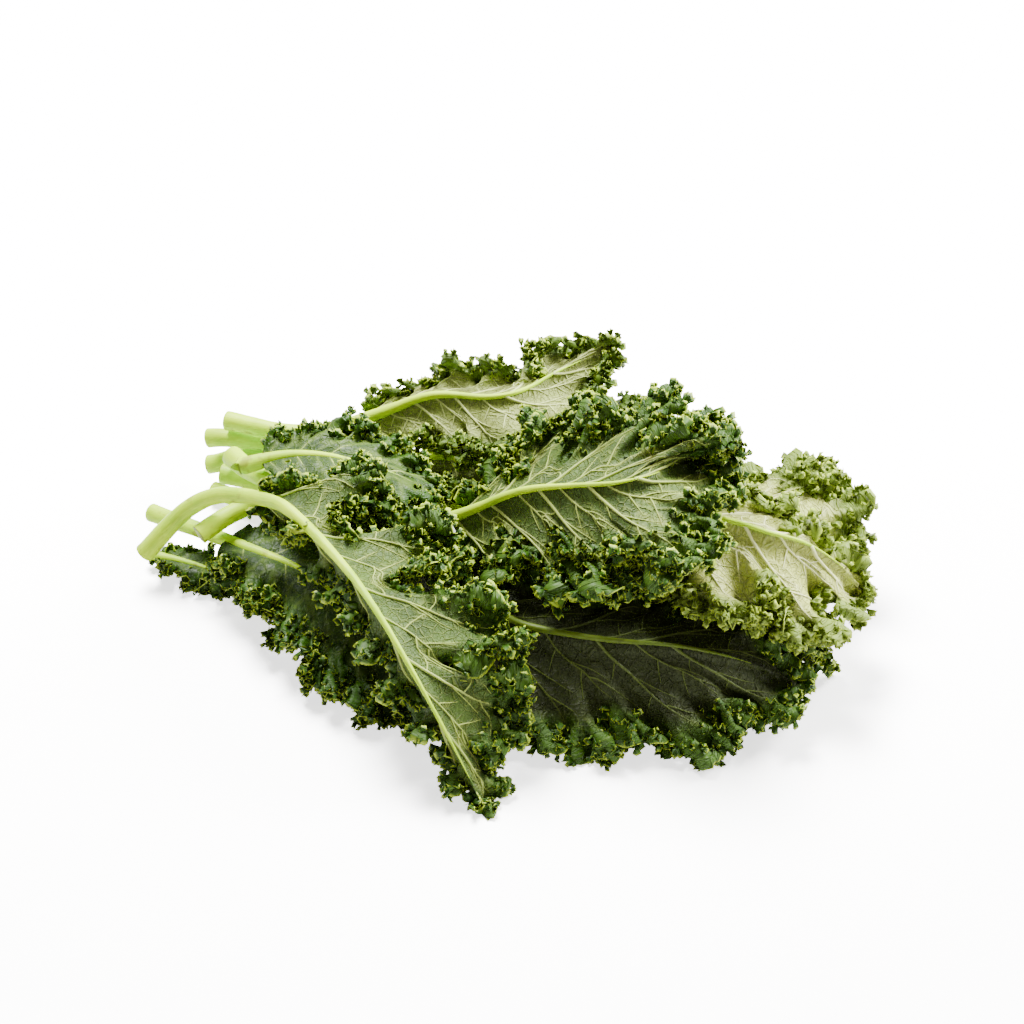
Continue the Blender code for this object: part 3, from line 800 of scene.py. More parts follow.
def spread_flat(blade, raw, out):
    """Where each point would lie if the leaf were spread flat, in mm: along the midrib and across."""
    along = 1 - np.abs(raw)
    angle = RIB_ANGLE * (1 - along**RIB_TURN_POWER)
    step = blade.rib_length(raw) * out / RIB_STEPS
    x = along * blade.spine.length * (1 - blade.leaf["blade_from"])
    y = np.zeros_like(x)
    for k in range(RIB_STEPS):
        share = (k + 0.5) / RIB_STEPS * out
        sweep = np.radians(np.maximum(angle - RIB_BEND * share * (1 - along), 0))
        x = x + np.cos(sweep) * step
        y = y + np.sin(sweep) * step
    return np.stack([x, np.where(raw < 0, -y, y)], -1)


top_flat = spread_flat(blades[-1], np.linspace(-1, 1, 99), np.ones(99))
print("top leaf spread flat, in mm:", np.ptp(top_flat, axis=0).round())

# %% [markdown]
# ## Veins
#
# From the midrib a side vein runs into every lobe and a thinner one between, each leaning towards the
# tip, and branches leave them left and right. On a narrow side of a leaf only the veins of the lobes are
# thick enough to see. The paths are worked out on the sheet, in the same names as its points, so a vein
# follows every fold of the blade. They end where the frills hide them.

# %% Paths of the veins
# Places and runs are shares of the midrib's length or of the way out, and girths are radii in mm
VEIN_POINTS = 16
VEIN_FEET = (0.08, 0.93)
ON_SHEET = (0.004, 0.995)
VEIN_REACH = 0.77
VEIN_LEAN = 0.075
LEAN_POWER = 1.4
VEIN_WIGGLE = 0.006
VEIN_GIRTH = 0.85
VEIN_TIP = 0.2
BETWEEN_REACH = 0.8
BETWEEN_GIRTH = 0.45
BRANCH_POINTS = 7
BRANCHES_AT = (0.2, 0.36, 0.52, 0.66)
BRANCH_GIRTH = 0.34
BRANCH_RUN = 0.21
BRANCH_SPREAD = 0.05
BRANCH_LEAN = 0.012
BRANCHES_END = 0.8
# How unevenly the veins lean and the branches are placed and spread
UNEVEN_LEAN = 0.3
UNEVEN_PLACE = 0.04
UNEVEN_SPREAD = 0.4
# A side of a leaf that is no wider than this, in mm, has no branches
NARROW = 30


def vein_paths(blade):
    """Each vein of a leaf as its places along the midrib, with the side's sign, its shares outwards and its
    radii in mm."""
    chance = np.random.default_rng(blade.leaf["seed"] + 1)
    size = blade.leaf["size"]
    paths = []
    for side, width in ((-1, blade.leaf["left"][0]), (1, blade.leaf["right"][0])):
        branches = BRANCHES_AT if width > NARROW else ()
        shift = LOBE_SHIFT * blade.phases[0] * side / (2 * math.pi)
        for k in range(2 * LOBES + 1):
            in_lobe = k % 2
            centre = (k / 2 - shift) / LOBES
            if not VEIN_FEET[0] < centre < VEIN_FEET[1] or not (in_lobe or branches):
                continue
            t = np.linspace(0, 1, VEIN_POINTS)
            lean = VEIN_LEAN * (1 + UNEVEN_LEAN * chance.uniform(-1, 1))
            wiggle = VEIN_WIGGLE * np.sin(t * 9 + chance.uniform(0, 6)) * t
            along = np.clip(centre - lean * (1 - t) ** LEAN_POWER + wiggle, *ON_SHEET)
            reach = VEIN_REACH * (1 if in_lobe else BETWEEN_REACH)
            girth = size * ((VEIN_GIRTH if in_lobe else BETWEEN_GIRTH) * (1 - t) ** 0.9 + VEIN_TIP)
            paths.append((side * (1 - along), reach * t, girth))
            for n, at in enumerate(branches):
                t = np.linspace(0, 1, BRANCH_POINTS)
                place = at + chance.uniform(-UNEVEN_PLACE, UNEVEN_PLACE)
                foot = centre - lean * (1 - place) ** LEAN_POWER
                spread = BRANCH_SPREAD * (1 + UNEVEN_SPREAD * chance.uniform(-1, 1))
                spread *= (-1, 1)[n % 2]
                along = np.clip(foot + spread * t**0.85 + BRANCH_LEAN * t, *ON_SHEET)
                outs = np.clip(reach * place + BRANCH_RUN * t, 0, BRANCHES_END)
                girth = size * (BRANCH_GIRTH * (1 - t) + VEIN_TIP * 0.8)
                paths.append((side * (1 - along), outs, girth))
    return paths


print("veins and branches on the top leaf:", len(vein_paths(blades[-1])))

# %% [markdown]
# ## Frills
#
# Frills are what makes it curly kale. The edge keeps growing after the middle has stopped, so it
# crumples into waves that carry smaller waves. It could be sculpted or simulated, but a wave that runs
# along the margin is a rule, and Geometry Nodes run such a rule on every point at once. One group lays
# one such wave on any sheet or line that carries the names *margin*, *out*, *under* and *ahead*. Noise
# makes its crests wander and swell, so that no two are alike. The points also sway to and fro along the
# margin, which turns the wave into loops that lean over, as the crowded edge does.

# %% Tree: one wave along the margin
TURN = 2 * math.pi
# How far points sway along the margin, as a share of the wave's height
SWAY = 0.3
# What the points of sheets and lines carry for the trees to read
CARRIED = {
    "margin": "FLOAT", "out": "FLOAT", "frilled": "FLOAT", "girth": "FLOAT", "vein": "FLOAT",
    "flat": "FLOAT_VECTOR", "under": "FLOAT_VECTOR", "ahead": "FLOAT_VECTOR",
}

wave_tree, add, size, result = shape_tree(
    "kale wave", Length=0.013, Height=0.0055, Start=0.5, End=1.0, Unrest=1.4, Seed=0.0,
    Direction=(0.0, 0.0, 1.0),
)
margin, out_share, under, ahead = (
    add(NAMED_ATTRIBUTE, (name,), data_type=CARRIED[name]) for name in ("margin", "out", "under", "ahead")
)
# Count the waves along the margin, and let slow noise push their crests to and fro
steps = add(MATH, (margin, size["Length"]), operation="DIVIDE")
slow = add(MATH, (steps, 0.43), operation="MULTIPLY")
drift = add(MATH, (out_share, 3.2), operation="MULTIPLY")
spot = add("ShaderNodeCombineXYZ", (slow, drift, size["Seed"]))
wander = add(NOISE, {"Vector": spot, "Scale": 1.0, "Detail": 1.0})
moved = add(MATH, (wander, size["Unrest"], steps), operation="MULTIPLY_ADD")
phase = add(MATH, (moved, TURN), operation="MULTIPLY")
# Other noise lets some crests swell, and all of them rise on the way out to the edge
other = add(VECTOR_MATH, (spot, (0, 0, 7.7)), operation="ADD")
swell = add(NOISE, {"Vector": other, "Scale": 1.3, "Detail": 1.0})
swell = add(MAP_RANGE, (swell, 0.32, 0.68, 0.45, 1.3))
rise = add(MAP_RANGE, (out_share, size["Start"], size["End"], 0.0, 1.0), interpolation_type="SMOOTHSTEP")
strength = add(MATH, (rise, swell), operation="MULTIPLY")
strength = add(MATH, (strength, size["Height"]), operation="MULTIPLY")
# Up and down along the given direction
up = add(MATH, (phase,), operation="SINE")
up = add(MATH, (up, strength), operation="MULTIPLY")
up = add(VECTOR_MATH, {"Vector": size["Direction"], "Scale": up}, operation="SCALE")
# To and fro along the margin, twice in each wave, so that the crests lean over
twice = add(MATH, (phase, 2.0), operation="MULTIPLY")
to_and_fro = add(MATH, (twice,), operation="SINE")
to_and_fro = add(MATH, (to_and_fro, strength), operation="MULTIPLY")
to_and_fro = add(MATH, (to_and_fro, -SWAY), operation="MULTIPLY")
outward = add(VECTOR_MATH, (under, ahead), operation="CROSS_PRODUCT")
along = add(VECTOR_MATH, (outward, size["Direction"]), operation="CROSS_PRODUCT")
across = add(VECTOR_MATH, {"Vector": along, "Scale": to_and_fro}, operation="SCALE")
offset = add(VECTOR_MATH, (up, across), operation="ADD")
waved = add(SET_POSITION, {"Geometry": size["Geometry"], "Offset": offset})
wave_tree.links.new(waved, result)
print("nodes in the wave tree:", len(wave_tree.nodes))

# %% [markdown]
# A frilled edge is made in steps. The edge rolls over towards the underside. Blisters crumple it. Then
# two waves follow, each on the sheet that the last one left: curls as wide as a finger, which begin where
# the leaf's frills begin, and frills on the curls. At last the rim is torn into small teeth.

# %% Tree: roll, blisters, curls, frills and teeth
frill_tree, add, size, result = shape_tree(
    "kale frill", Leaf_size=1.0, Seed=0.0, Frilled_from=0.42, Roll=0.0035, Blister_height=0.0038,
    Curl_height=0.0054, Frill_height=0.0024, Tooth_height=0.0022,
)
margin, out_share, flat, under, ahead = (
    add(NAMED_ATTRIBUTE, (name,), data_type=CARRIED[name])
    for name in ("margin", "out", "flat", "under", "ahead")
)
outward = add(VECTOR_MATH, (under, ahead), operation="CROSS_PRODUCT")
# Roll the outer part over, towards the underside and back inwards
over = add(VECTOR_MATH, (outward, (-0.9, -0.9, -0.9), under), operation="MULTIPLY_ADD")
rise = add(MAP_RANGE, (out_share, 0.62, 1.0, 0.0, size["Roll"]), interpolation_type="SMOOTHSTEP")
rolled = add(VECTOR_MATH, {"Vector": over, "Scale": rise}, operation="SCALE")
# Blisters about 7 mm wide, from a third of the way out
blisters = add(NOISE, {"Vector": flat, "Scale": 150.0, "Detail": 1.0})
blisters = add(MATH, (blisters, 0.5), operation="SUBTRACT")
rise = add(MAP_RANGE, (out_share, 0.3, 0.8, 0.0, 2.0), interpolation_type="SMOOTHSTEP")
blisters = add(MATH, (blisters, rise), operation="MULTIPLY")
blisters = add(MATH, (blisters, size["Blister height"]), operation="MULTIPLY")
blistered = add(VECTOR_MATH, {"Vector": under, "Scale": blisters}, operation="SCALE")
offset = add(VECTOR_MATH, (rolled, blistered), operation="ADD")
shape = add(SET_POSITION, {"Geometry": size["Geometry"], "Offset": offset})
# Curls 11.5 mm long, then frills 4.2 mm long that stand off the curled sheet
normal = add("GeometryNodeInputNormal")
curled_from = add(MATH, (size["Frilled from"], 0.04), operation="ADD")
for length, height, start, end, unrest, direction in (
    (0.0115, "Curl height", curled_from, 0.92, 1.6, under),
    (0.0042, "Frill height", 0.76, 0.99, 1.5, normal),
):
    wave_length = add(MATH, (size["Leaf size"], length), operation="MULTIPLY")
    wave_height = add(MATH, (size["Leaf size"], size[height]), operation="MULTIPLY")
    own_seed = add(MATH, (size["Seed"], 9000 * length), operation="ADD")
    shape = add(GROUP, {
        "Geometry": shape, "Length": wave_length, "Height": wave_height, "Start": start, "End": end,
        "Unrest": unrest, "Seed": own_seed, "Direction": direction,
    }, node_tree=wave_tree)
# Teeth about 1 mm wide, in the rim alone
rim_place = add("ShaderNodeCombineXYZ", (margin, 0.0, size["Seed"]))
teeth = add(NOISE, {"Vector": rim_place, "Scale": 900.0, "Detail": 1.0})
teeth = add(MATH, (teeth, 0.5), operation="SUBTRACT")
rise = add(MAP_RANGE, (out_share, 0.93, 1.0, 0.0, 2.0))
teeth = add(MATH, (teeth, rise), operation="MULTIPLY")
teeth = add(MATH, (teeth, size["Tooth height"]), operation="MULTIPLY")
torn = add(VECTOR_MATH, {"Vector": outward, "Scale": teeth}, operation="SCALE")
frilled = add(SET_POSITION, {"Geometry": shape, "Offset": torn})
frill_tree.links.new(frilled, result)
print("nodes in the frill tree:", len(frill_tree.nodes))

# %% [markdown]
# ## The table under the leaves
#
# Where a frill would dip below the surface that the bunch lies on, the real one bends up. A smooth
# squeeze does that: heights well above the table stay, and those near or below it are eased to just
# above it. The order of the points is kept, so the sheet doesn't pass through itself.

# %% Tree: eased off the table
table_tree, add, size, result = shape_tree("kale off the table", Squeeze=0.0016)
here = add("GeometryNodeInputPosition")
x, y, z = add("ShaderNodeSeparateXYZ", (here,)).node.outputs
# Each height becomes (z + root of (z squared + squeeze squared)) / 2: z high up, just above 0 below
squared = add(MATH, (z, z), operation="MULTIPLY")
soft = add(MATH, (size["Squeeze"], size["Squeeze"], squared), operation="MULTIPLY_ADD")
root = add(MATH, (soft,), operation="SQRT")
total = add(MATH, (root, z), operation="ADD")
height = add(MATH, (total, 0.5), operation="MULTIPLY")
place = add("ShaderNodeCombineXYZ", (x, y, height))
eased = add(SET_POSITION, {"Geometry": size["Geometry"], "Position": place})
table_tree.links.new(eased, result)
print("nodes in the table tree:", len(table_tree.nodes))

# %% [markdown]
# The blade's own tree is short, because the groups above do the work: it frills the sheet, eases it off
# the table and gives it the finish of its underside.

# %% Tree: a blade with its frills, eased off the table
blade_tree, add, size, result = shape_tree(
    "kale blade", Squeeze=0.0016, Leaf_size=1.0, Seed=0.0, Frilled_from=0.42
)
frilled = add(GROUP, {
    "Geometry": size["Geometry"], "Leaf size": size["Leaf size"], "Seed": size["Seed"],
    "Frilled from": size["Frilled from"],
}, node_tree=frill_tree)
on_table = add(GROUP, {"Geometry": frilled, "Squeeze": size["Squeeze"]}, node_tree=table_tree)
real = add("GeometryNodeRealizeInstances", (on_table,))
blade_finish = add("GeometryNodeSetMaterial", (real,)).node
blade_tree.links.new(blade_finish.outputs[0], result)
print("nodes in the blade tree:", len(blade_tree.nodes))

# %% [markdown]
# ## Ruffles
#
# The edge of the real leaf divides again and again, into lobules with toothed, wavy rims that crowd
# each other on both faces of the curls. One sheet can't divide that often. So one small ruffle is
# modelled, to be set on the curls many times over: a fan with a waved and toothed rim, whose two skins
# meet in a sharp edge all round.

# %% One ruffle
# Lengths in mm, for a leaf of size 1
RUFFLE_COLUMNS = 7
RUFFLE_ROWS = (0.0, 0.62, 1.0)
RUFFLE_HEIGHT = 5.0
RUFFLE_HALF_WIDTH = (0.9, 3.0)
RUFFLE_WAVE = 1.6
RUFFLE_THICKNESS = 0.5
RUFFLE_ROOT = 0.3
RUFFLE_OUT = 0.88
FAR_FROM_VEINS = 9.0
UV_UNIT = 100.0


def carry(mesh, name, values):
    """Puts one number or one vector on each point of a mesh, under a name."""
    values = np.asarray(values, np.float32)
    kind, key = ("FLOAT_VECTOR", "vector") if values.ndim == 2 else ("FLOAT", "value")
    mesh.attributes.new(name, kind, "POINT").data.foreach_set(key, values.ravel())


def lay_flat(mesh, flat):
    """Gives a mesh its UV map, from where each point lies in mm on the leaf spread flat."""
    uv = mesh.uv_layers.new(name="flat leaf")
    corners = np.empty(len(mesh.loops), int)
    mesh.loops.foreach_get("vertex_index", corners)
    uv.data.foreach_set("uv", (flat[corners] / UV_UNIT).astype(np.float32).ravel())


def ruffle_mesh():
    """A fan whose two skins meet in a sharp edge, with the same names on its points as a blade."""
    u, h = np.meshgrid(np.linspace(-1, 1, RUFFLE_COLUMNS), RUFFLE_ROWS)
    tooth = np.where(np.arange(RUFFLE_COLUMNS) % 2, 0.7, -0.45) * h**3
    x = u * (RUFFLE_HALF_WIDTH[0] + (RUFFLE_HALF_WIDTH[1] - RUFFLE_HALF_WIDTH[0]) * h)
    y = RUFFLE_WAVE * h**0.8 * np.sin(1.7 * math.pi * u + 0.6)
    z = RUFFLE_HEIGHT * h * (1 - 0.3 * u**2) + tooth - RUFFLE_ROOT
    middle_skin = np.stack([x, y, z], -1)
    rows, columns = u.shape
    inside = np.zeros(u.shape, bool)
    inside[1:-1, 1:-1] = True
    half = np.array([0, RUFFLE_THICKNESS / 2, 0])
    points = np.concatenate([
        (middle_skin + half * inside[..., None]).reshape(-1, 3), (middle_skin - half)[inside]
    ])
    front = np.arange(rows * columns).reshape(rows, columns)
    back = front.copy()
    back[inside] = rows * columns + np.arange(inside.sum())
    quads = []
    for net, turn in ((front, 1), (back, -1)):
        a, b, c, d = net[:-1, :-1], net[:-1, 1:], net[1:, 1:], net[1:, :-1]
        quads.append(np.stack([a, d, c, b][::turn], -1).reshape(-1, 4))
    mesh = bpy.data.meshes.new("ruffle")
    mesh.from_pydata((points * MM).tolist(), [], np.concatenate(quads).tolist())
    height = np.concatenate([h.ravel(), h[inside]])
    carry(mesh, "out", RUFFLE_OUT + (1 - RUFFLE_OUT) * height)
    carry(mesh, "frilled", np.ones(len(height)))
    carry(mesh, "rim_distance", (1 - height) * RUFFLE_HEIGHT * 0.8)
    carry(mesh, "vein_distance", np.full(len(height), FAR_FROM_VEINS))
    lay_flat(mesh, points[:, (0, 2)])
    return mesh


ruffle = bpy.data.objects.new("ruffle", ruffle_mesh())
print("triangles in a ruffle:", 2 * len(ruffle.data.polygons))

# %% [markdown]
# Points are spread over both faces of the blade, as densely as it is frilled there, and each gets a
# ruffle. It stands up from the face, leans to the rim and strays a little, because real lobules never
# stand in rows. Noise bends each one differently.

# %% Tree: ruffles on the frilled part of a blade
# Ruffles on each square metre of a blade's faces where it is fully frilled
RUFFLES = 31500.0

ruffle_tree, add, size, result = shape_tree(
    "kale ruffles", Leaf_size=1.0, Density=RUFFLES, Lean=0.9, Tangle=0.9, Bend=0.0022, Squeeze=0.0012,
    Seed=0.0,
)
frilled, under, ahead = (
    add(NAMED_ATTRIBUTE, (name,), data_type=CARRIED[name]) for name in ("frilled", "under", "ahead")
)
density = add(MATH, (frilled, size["Density"]), operation="MULTIPLY")
spread = add("GeometryNodeDistributePointsOnFaces", {
    "Mesh": size["Geometry"], "Density": density, "Seed": size["Seed"]
}).node
# Each stands off its face, leans outwards and strays any way
outward = add(VECTOR_MATH, (under, ahead), operation="CROSS_PRODUCT")
leaning = add(VECTOR_MATH, {"Vector": outward, "Scale": size["Lean"]}, operation="SCALE")
leaning = add(VECTOR_MATH, (leaning, spread.outputs["Normal"]), operation="ADD")
any_way = add("FunctionNodeRandomValue", ((-1, -1, -1), (1, 1, 1)), data_type="FLOAT_VECTOR")
astray = add(VECTOR_MATH, {"Vector": any_way, "Scale": size["Tangle"]}, operation="SCALE")
growing = add(VECTOR_MATH, (leaning, astray), operation="ADD")
stand = add("FunctionNodeAlignRotationToVector", {"Vector": growing}, axis="Z")
turned = add(
    "FunctionNodeAlignRotationToVector", {"Rotation": stand, "Vector": any_way},
    axis="X", pivot_axis="Z",
)
dice = add("FunctionNodeRandomValue", (0.6, 1.25), data_type="FLOAT")
own_size = add(MATH, (dice, size["Leaf size"]), operation="MULTIPLY")
pattern = add("GeometryNodeObjectInfo", {"Object": ruffle}).node
set_on = add("GeometryNodeInstanceOnPoints", {
    "Points": spread.outputs["Points"], "Instance": pattern.outputs["Geometry"], "Rotation": turned,
    "Scale": own_size,
})
ruffles = add("GeometryNodeRealizeInstances", (set_on,))
# Noise about 5 mm wide bends every ruffle its own way
place = add("GeometryNodeInputPosition")
bend = add(NOISE, {"Vector": place, "Scale": 190.0, "Detail": 1.0}, out=1)
bend = add(VECTOR_MATH, (bend, (0.5, 0.5, 0.5)), operation="SUBTRACT")
bend = add(VECTOR_MATH, {"Vector": bend, "Scale": size["Bend"]}, operation="SCALE")
ruffles = add(SET_POSITION, {"Geometry": ruffles, "Offset": bend})
ruffles = add(GROUP, {"Geometry": ruffles, "Squeeze": size["Squeeze"]}, node_tree=table_tree)
both = ruffle_tree.nodes.new("GeometryNodeJoinGeometry")
ruffle_tree.links.new(ruffles, both.inputs[0])
ruffle_tree.links.new(size["Geometry"], both.inputs[0])
ruffle_tree.links.new(both.outputs[0], result)
print("nodes in the ruffle tree:", len(ruffle_tree.nodes))

# %% [markdown]
# ## Stems and veins as tubes
#
# A stem, its midrib and the veins are round and taper all the way. A circle swept along a bare line
# makes such a tube, scaled by the girth that each point of the line carries. The tree first curls the
# lines that lie on the blade with the same frill group, then sweeps. The stem gets more sides than the
# veins, and a slow noise leaves it slightly uneven, as a grown thing is.

# %% Tree: stems and veins
stem_tree, add, size, result = shape_tree(
    "kale stem and veins", Squeeze=0.0016, Leaf_size=1.0, Seed=0.0, Frilled_from=0.42, Stem_sides=22.0,
    Vein_sides=4.0, Lump=0.00056,
)
# Lay the veins on the curls of the blade, without its finest frills and its teeth
laid = add(GROUP, {
    "Geometry": size["Geometry"], "Leaf size": size["Leaf size"], "Seed": size["Seed"],
    "Frilled from": size["Frilled from"], "Frill height": 0.0, "Tooth height": 0.0,
}, node_tree=frill_tree)
girth, is_vein = (
    add(NAMED_ATTRIBUTE, (name,), data_type=CARRIED[name]) for name in ("girth", "vein")
)
veins_only = add(MATH, (is_vein, 0.5), operation="GREATER_THAN")
split = add("GeometryNodeSeparateGeometry", {"Geometry": laid, "Selection": veins_only}).node
# Sweep a circle along each line, whose points keep their place round it for the finish
tubes = []
for branch, sides in ((split.outputs[0], size["Vein sides"]), (split.outputs[1], size["Stem sides"])):
    line = add("GeometryNodeMeshToCurve", (branch,))
    ring = add("GeometryNodeCurvePrimitiveCircle", {"Resolution": sides, "Radius": 1.0})
    ring = add(
        "GeometryNodeStoreNamedAttribute",
        {"Geometry": ring, "Name": "turn", "Value": add("GeometryNodeInputPosition")},
        data_type="FLOAT_VECTOR",
    )
    tubes.append(add("GeometryNodeCurveToMesh", {
        "Curve": line, "Profile Curve": ring, "Scale": girth, "Fill Caps": True
    }))
veins, stem = tubes
# Lumps about 9 mm long
spot = add("GeometryNodeInputPosition")
lumps = add(NOISE, {"Vector": spot, "Scale": 110.0, "Detail": 2.0})
lumps = add(MATH, (lumps, 0.5), operation="SUBTRACT")
lumps = add(MATH, (lumps, size["Lump"]), operation="MULTIPLY")
normal = add("GeometryNodeInputNormal")
lumps = add(VECTOR_MATH, {"Vector": normal, "Scale": lumps}, operation="SCALE")
stem = add(SET_POSITION, {"Geometry": stem, "Offset": lumps})
join = stem_tree.nodes.new("GeometryNodeJoinGeometry")
stem_tree.links.new(veins, join.inputs[0])
stem_tree.links.new(stem, join.inputs[0])
on_table = add(GROUP, {"Geometry": join.outputs[0], "Squeeze": size["Squeeze"]}, node_tree=table_tree)
real = add("GeometryNodeRealizeInstances", (on_table,))
stem_finish = add("GeometryNodeSetMaterial", (real,)).node
stem_tree.links.new(stem_finish.outputs[0], result)
print("nodes in the stem tree:", len(stem_tree.nodes))

# %% [markdown]
# ## Finishes
#
# A kale leaf is dull and greyish below, where the veins stand out pale, and darker and waxier above.
# The frills are the darkest green, and every rim is painted as a thin bright yellow-green line: painted
# light for the light that comes through where the leaf is cut thin. Photographs of leaves could be wrapped
# on, but they would show the same spots on every leaf. So the patterns are laid out in millimetres on the
# leaf spread flat, which each sheet carries as its UV map. The colours are laid over each other like
# glazes, from the patches up to the rim, and the leaf's tone makes the same skin creamier, partly with
# painted light, or darker, partly with painted shade.

# %% Finish: leaf skin, below and above
# Width of the meshes in the net of fine veins, in mm, and how much of a mesh its veins take up
NETS = ((6.5, 0.075), (2.4, 0.09))
# What an old leaf turns to between its veins and on them, partly painted light on brightly lit leaves, the
# yellow-green of painted light laid all over those, and a young, dark leaf near its midrib, partly painted
# shade
OLD_GREEN_AND_PAINTED_LIGHT = "#d2d572"
OLD_VEIN_AND_PAINTED_LIGHT = "#eef0b4"
PAINTED_LIGHT_GREEN = "#b8cc48"
IN_SHADE = "#272d06"


def new_finish(name, **constants):
    """A new material with these constants on its shader, what adds nodes to it, and the shader."""
    made = bpy.data.materials.new(name)
    made.use_nodes = True
    shader = made.node_tree.nodes["Principled BSDF"]
    for label, value in constants.items():
        shader.inputs[label.replace("_", " ")].default_value = value
    return made, partial(add_node, made.node_tree), shader


def leaf_skin(name, plain, deep, vein_green, edge_green, rim, roughness, relief):
    """A leaf skin: two greens in patches, a net of veins, a darker green near the edge and a rim painted
    bright as painted light.
    """
    made, add, shader = new_finish(name, Roughness=roughness, IOR=1.36)
    tone, share, to_edge, to_vein, to_rim = (
        add("ShaderNodeAttribute", out=2, attribute_name=label)
        for label in ("tone", "out", "frilled", "vein_distance", "rim_distance")
    )
    # The net of fine veins, bent by 2 mm here and there so that its meshes are uneven
    flat = add("ShaderNodeUVMap")
    flat = add(VECTOR_MATH, {"Vector": flat, "Scale": UV_UNIT}, operation="SCALE")
    warp = add(NOISE, {"Vector": flat, "Scale": 0.22, "Detail": 2.0}, out=1)
    warped = add(VECTOR_MATH, (warp, (2.2, 2.2, 0.0), flat), operation="MULTIPLY_ADD")
    nets = []
    for mesh_width, vein_share in NETS:
        gap = add(
            "ShaderNodeTexVoronoi", {"Vector": warped, "Scale": 1 / mesh_width}, feature="DISTANCE_TO_EDGE"
        )
        gap = add(MAP_RANGE, (gap, 0.0, vein_share, 1.0, 0.0), interpolation_type="SMOOTHSTEP")
        nets.append(gap)
    net = add(MATH, (nets[1], 0.45, nets[0]), operation="MULTIPLY_ADD", use_clamp=True)
    # Patches 20 mm wide, and paler lines along the net and beside the raised veins, faint at the edge
    patches = add(NOISE, {"Vector": flat, "Scale": 0.05, "Detail": 4.0})
    patches = add(MAP_RANGE, (patches, 0.38, 0.62, 0.0, 1.0))
    calm = add(MAP_RANGE, (share, 0.5, 0.9, 1.0, 0.15))
    halo = add(MAP_RANGE, (to_vein, 0.3, 1.7, 0.6, 0.0), interpolation_type="SMOOTHSTEP")
    lines = add(MATH, (net, 0.32), operation="MULTIPLY")
    lines = add(MATH, (lines, halo), operation="MAXIMUM")
    lines = add(MATH, (lines, calm), operation="MULTIPLY")
    # The last millimetre is painted bright, painted light for the light through the thin edge, and tone
    # shares out the colours of old and young leaves, with painted light on creamy leaves and painted shade
    # on dark ones
    painted_rim_light = add(MAP_RANGE, (to_rim, 0.15, 1.05, 0.88, 0.0), interpolation_type="SMOOTHSTEP")
    old_and_painted_light = add(MATH, (tone, 0.8), operation="MULTIPLY", use_clamp=True)
    # Painted light: creamy leaves get a lit yellow-green all over
    painted_light_all_over = add(MATH, (tone, 0.3), operation="MULTIPLY", use_clamp=True)
    # Painted shade, partly the leaf's own darker green: dark leaves darken away from their frills
    inner = add(MAP_RANGE, (to_edge, 0.0, 0.7, -0.88, 0.0))
    shaded = add(MATH, (tone, inner), operation="MULTIPLY", use_clamp=True)
    vein = add(MIX, (old_and_painted_light, srgb(vein_green), srgb(OLD_VEIN_AND_PAINTED_LIGHT)), data_type="RGBA")
    colour = srgb(plain)
    for amount, tint in (
        (patches, srgb(deep)), (old_and_painted_light, srgb(OLD_GREEN_AND_PAINTED_LIGHT)), (to_edge, srgb(edge_green)), (lines, vein),
        (painted_rim_light, srgb(rim)), (painted_light_all_over, srgb(PAINTED_LIGHT_GREEN)), (shaded, srgb(IN_SHADE)),
    ):
        colour = add(MIX, (amount, colour, tint), data_type="RGBA")
    made.node_tree.links.new(colour, shader.inputs["Base Color"])
    # Relief: the net stands up, with a grain 0.9 mm wide on it
    grain = add(NOISE, {"Vector": flat, "Scale": 1.1, "Detail": 3.0})
    height = add(MATH, (grain, 0.35, net), operation="MULTIPLY_ADD")
    bump = add("ShaderNodeBump", {"Strength": relief, "Distance": 0.0011, "Height": height})
    made.node_tree.links.new(bump, shader.inputs["Normal"])
    return made


# Below the skin is dull and its net of veins stands up. Above it is darker, smoother and waxy.
# On both skins the rim colour is painted light: a bright yellow-green for the light through the thin edge
UNDERSIDE = leaf_skin(
    "kale_underside_dull", plain="#4f6823", deep="#3b511a", vein_green="#889641",
    edge_green="#3a5b08", rim="#b4cc32", roughness=0.55, relief=1.0,
)
UPPER_SIDE = leaf_skin(
    "kale_upper_side_waxy", plain="#2e4907", deep="#203a04", vein_green="#5e742a",
    edge_green="#2e5105", rim="#b4cc32", roughness=0.45, relief=0.5,
)
blade_finish.inputs["Material"].default_value = UNDERSIDE
ruffle.data.materials.append(UPPER_SIDE)
print("nodes in a leaf skin:", len(UNDERSIDE.node_tree.nodes))

# %% [markdown]
# The rim is where the thin leaf is seen edge-on. Its pale yellow-green, in small bright specks, is painted
# light for the light that comes through the thin edge, and being moist it has a little more shine than the
# skin.

# %% Finish: leaf rim
# The edge of a leaf: moist, and painted pale as painted light, so that it draws every curl as a bright line
RIM, add, shader = new_finish("kale_rim_pale", Roughness=0.4)
# Specks of painted light about 4 mm wide
place = add("ShaderNodeTexCoord", out=3)
specks = add(NOISE, {"Vector": place, "Scale": 260.0, "Detail": 2.0})
tint = add(MIX, (specks, srgb("#98b430"), srgb("#bccf48")), data_type="RGBA")
RIM.node_tree.links.new(tint, shader.inputs["Base Color"])
print("nodes in the rim:", len(RIM.node_tree.nodes))

# %% [markdown]
# A stem is crisp and juicy: a smooth, slightly waxy skin, pale yellow-green, with fine fibres that run
# along it, faint blotches and bruises, and a duller, browner cut round a paler pith. The fibre pattern is
# stretched along the stem by reading the place round the stem and the run along it, which the tubes
# carry. The raised veins are duller than the stem and share their leaf's tone: on a creamy leaf they turn
# cream, partly painted light, and on a dark leaf the midrib and veins darken, partly painted shade.

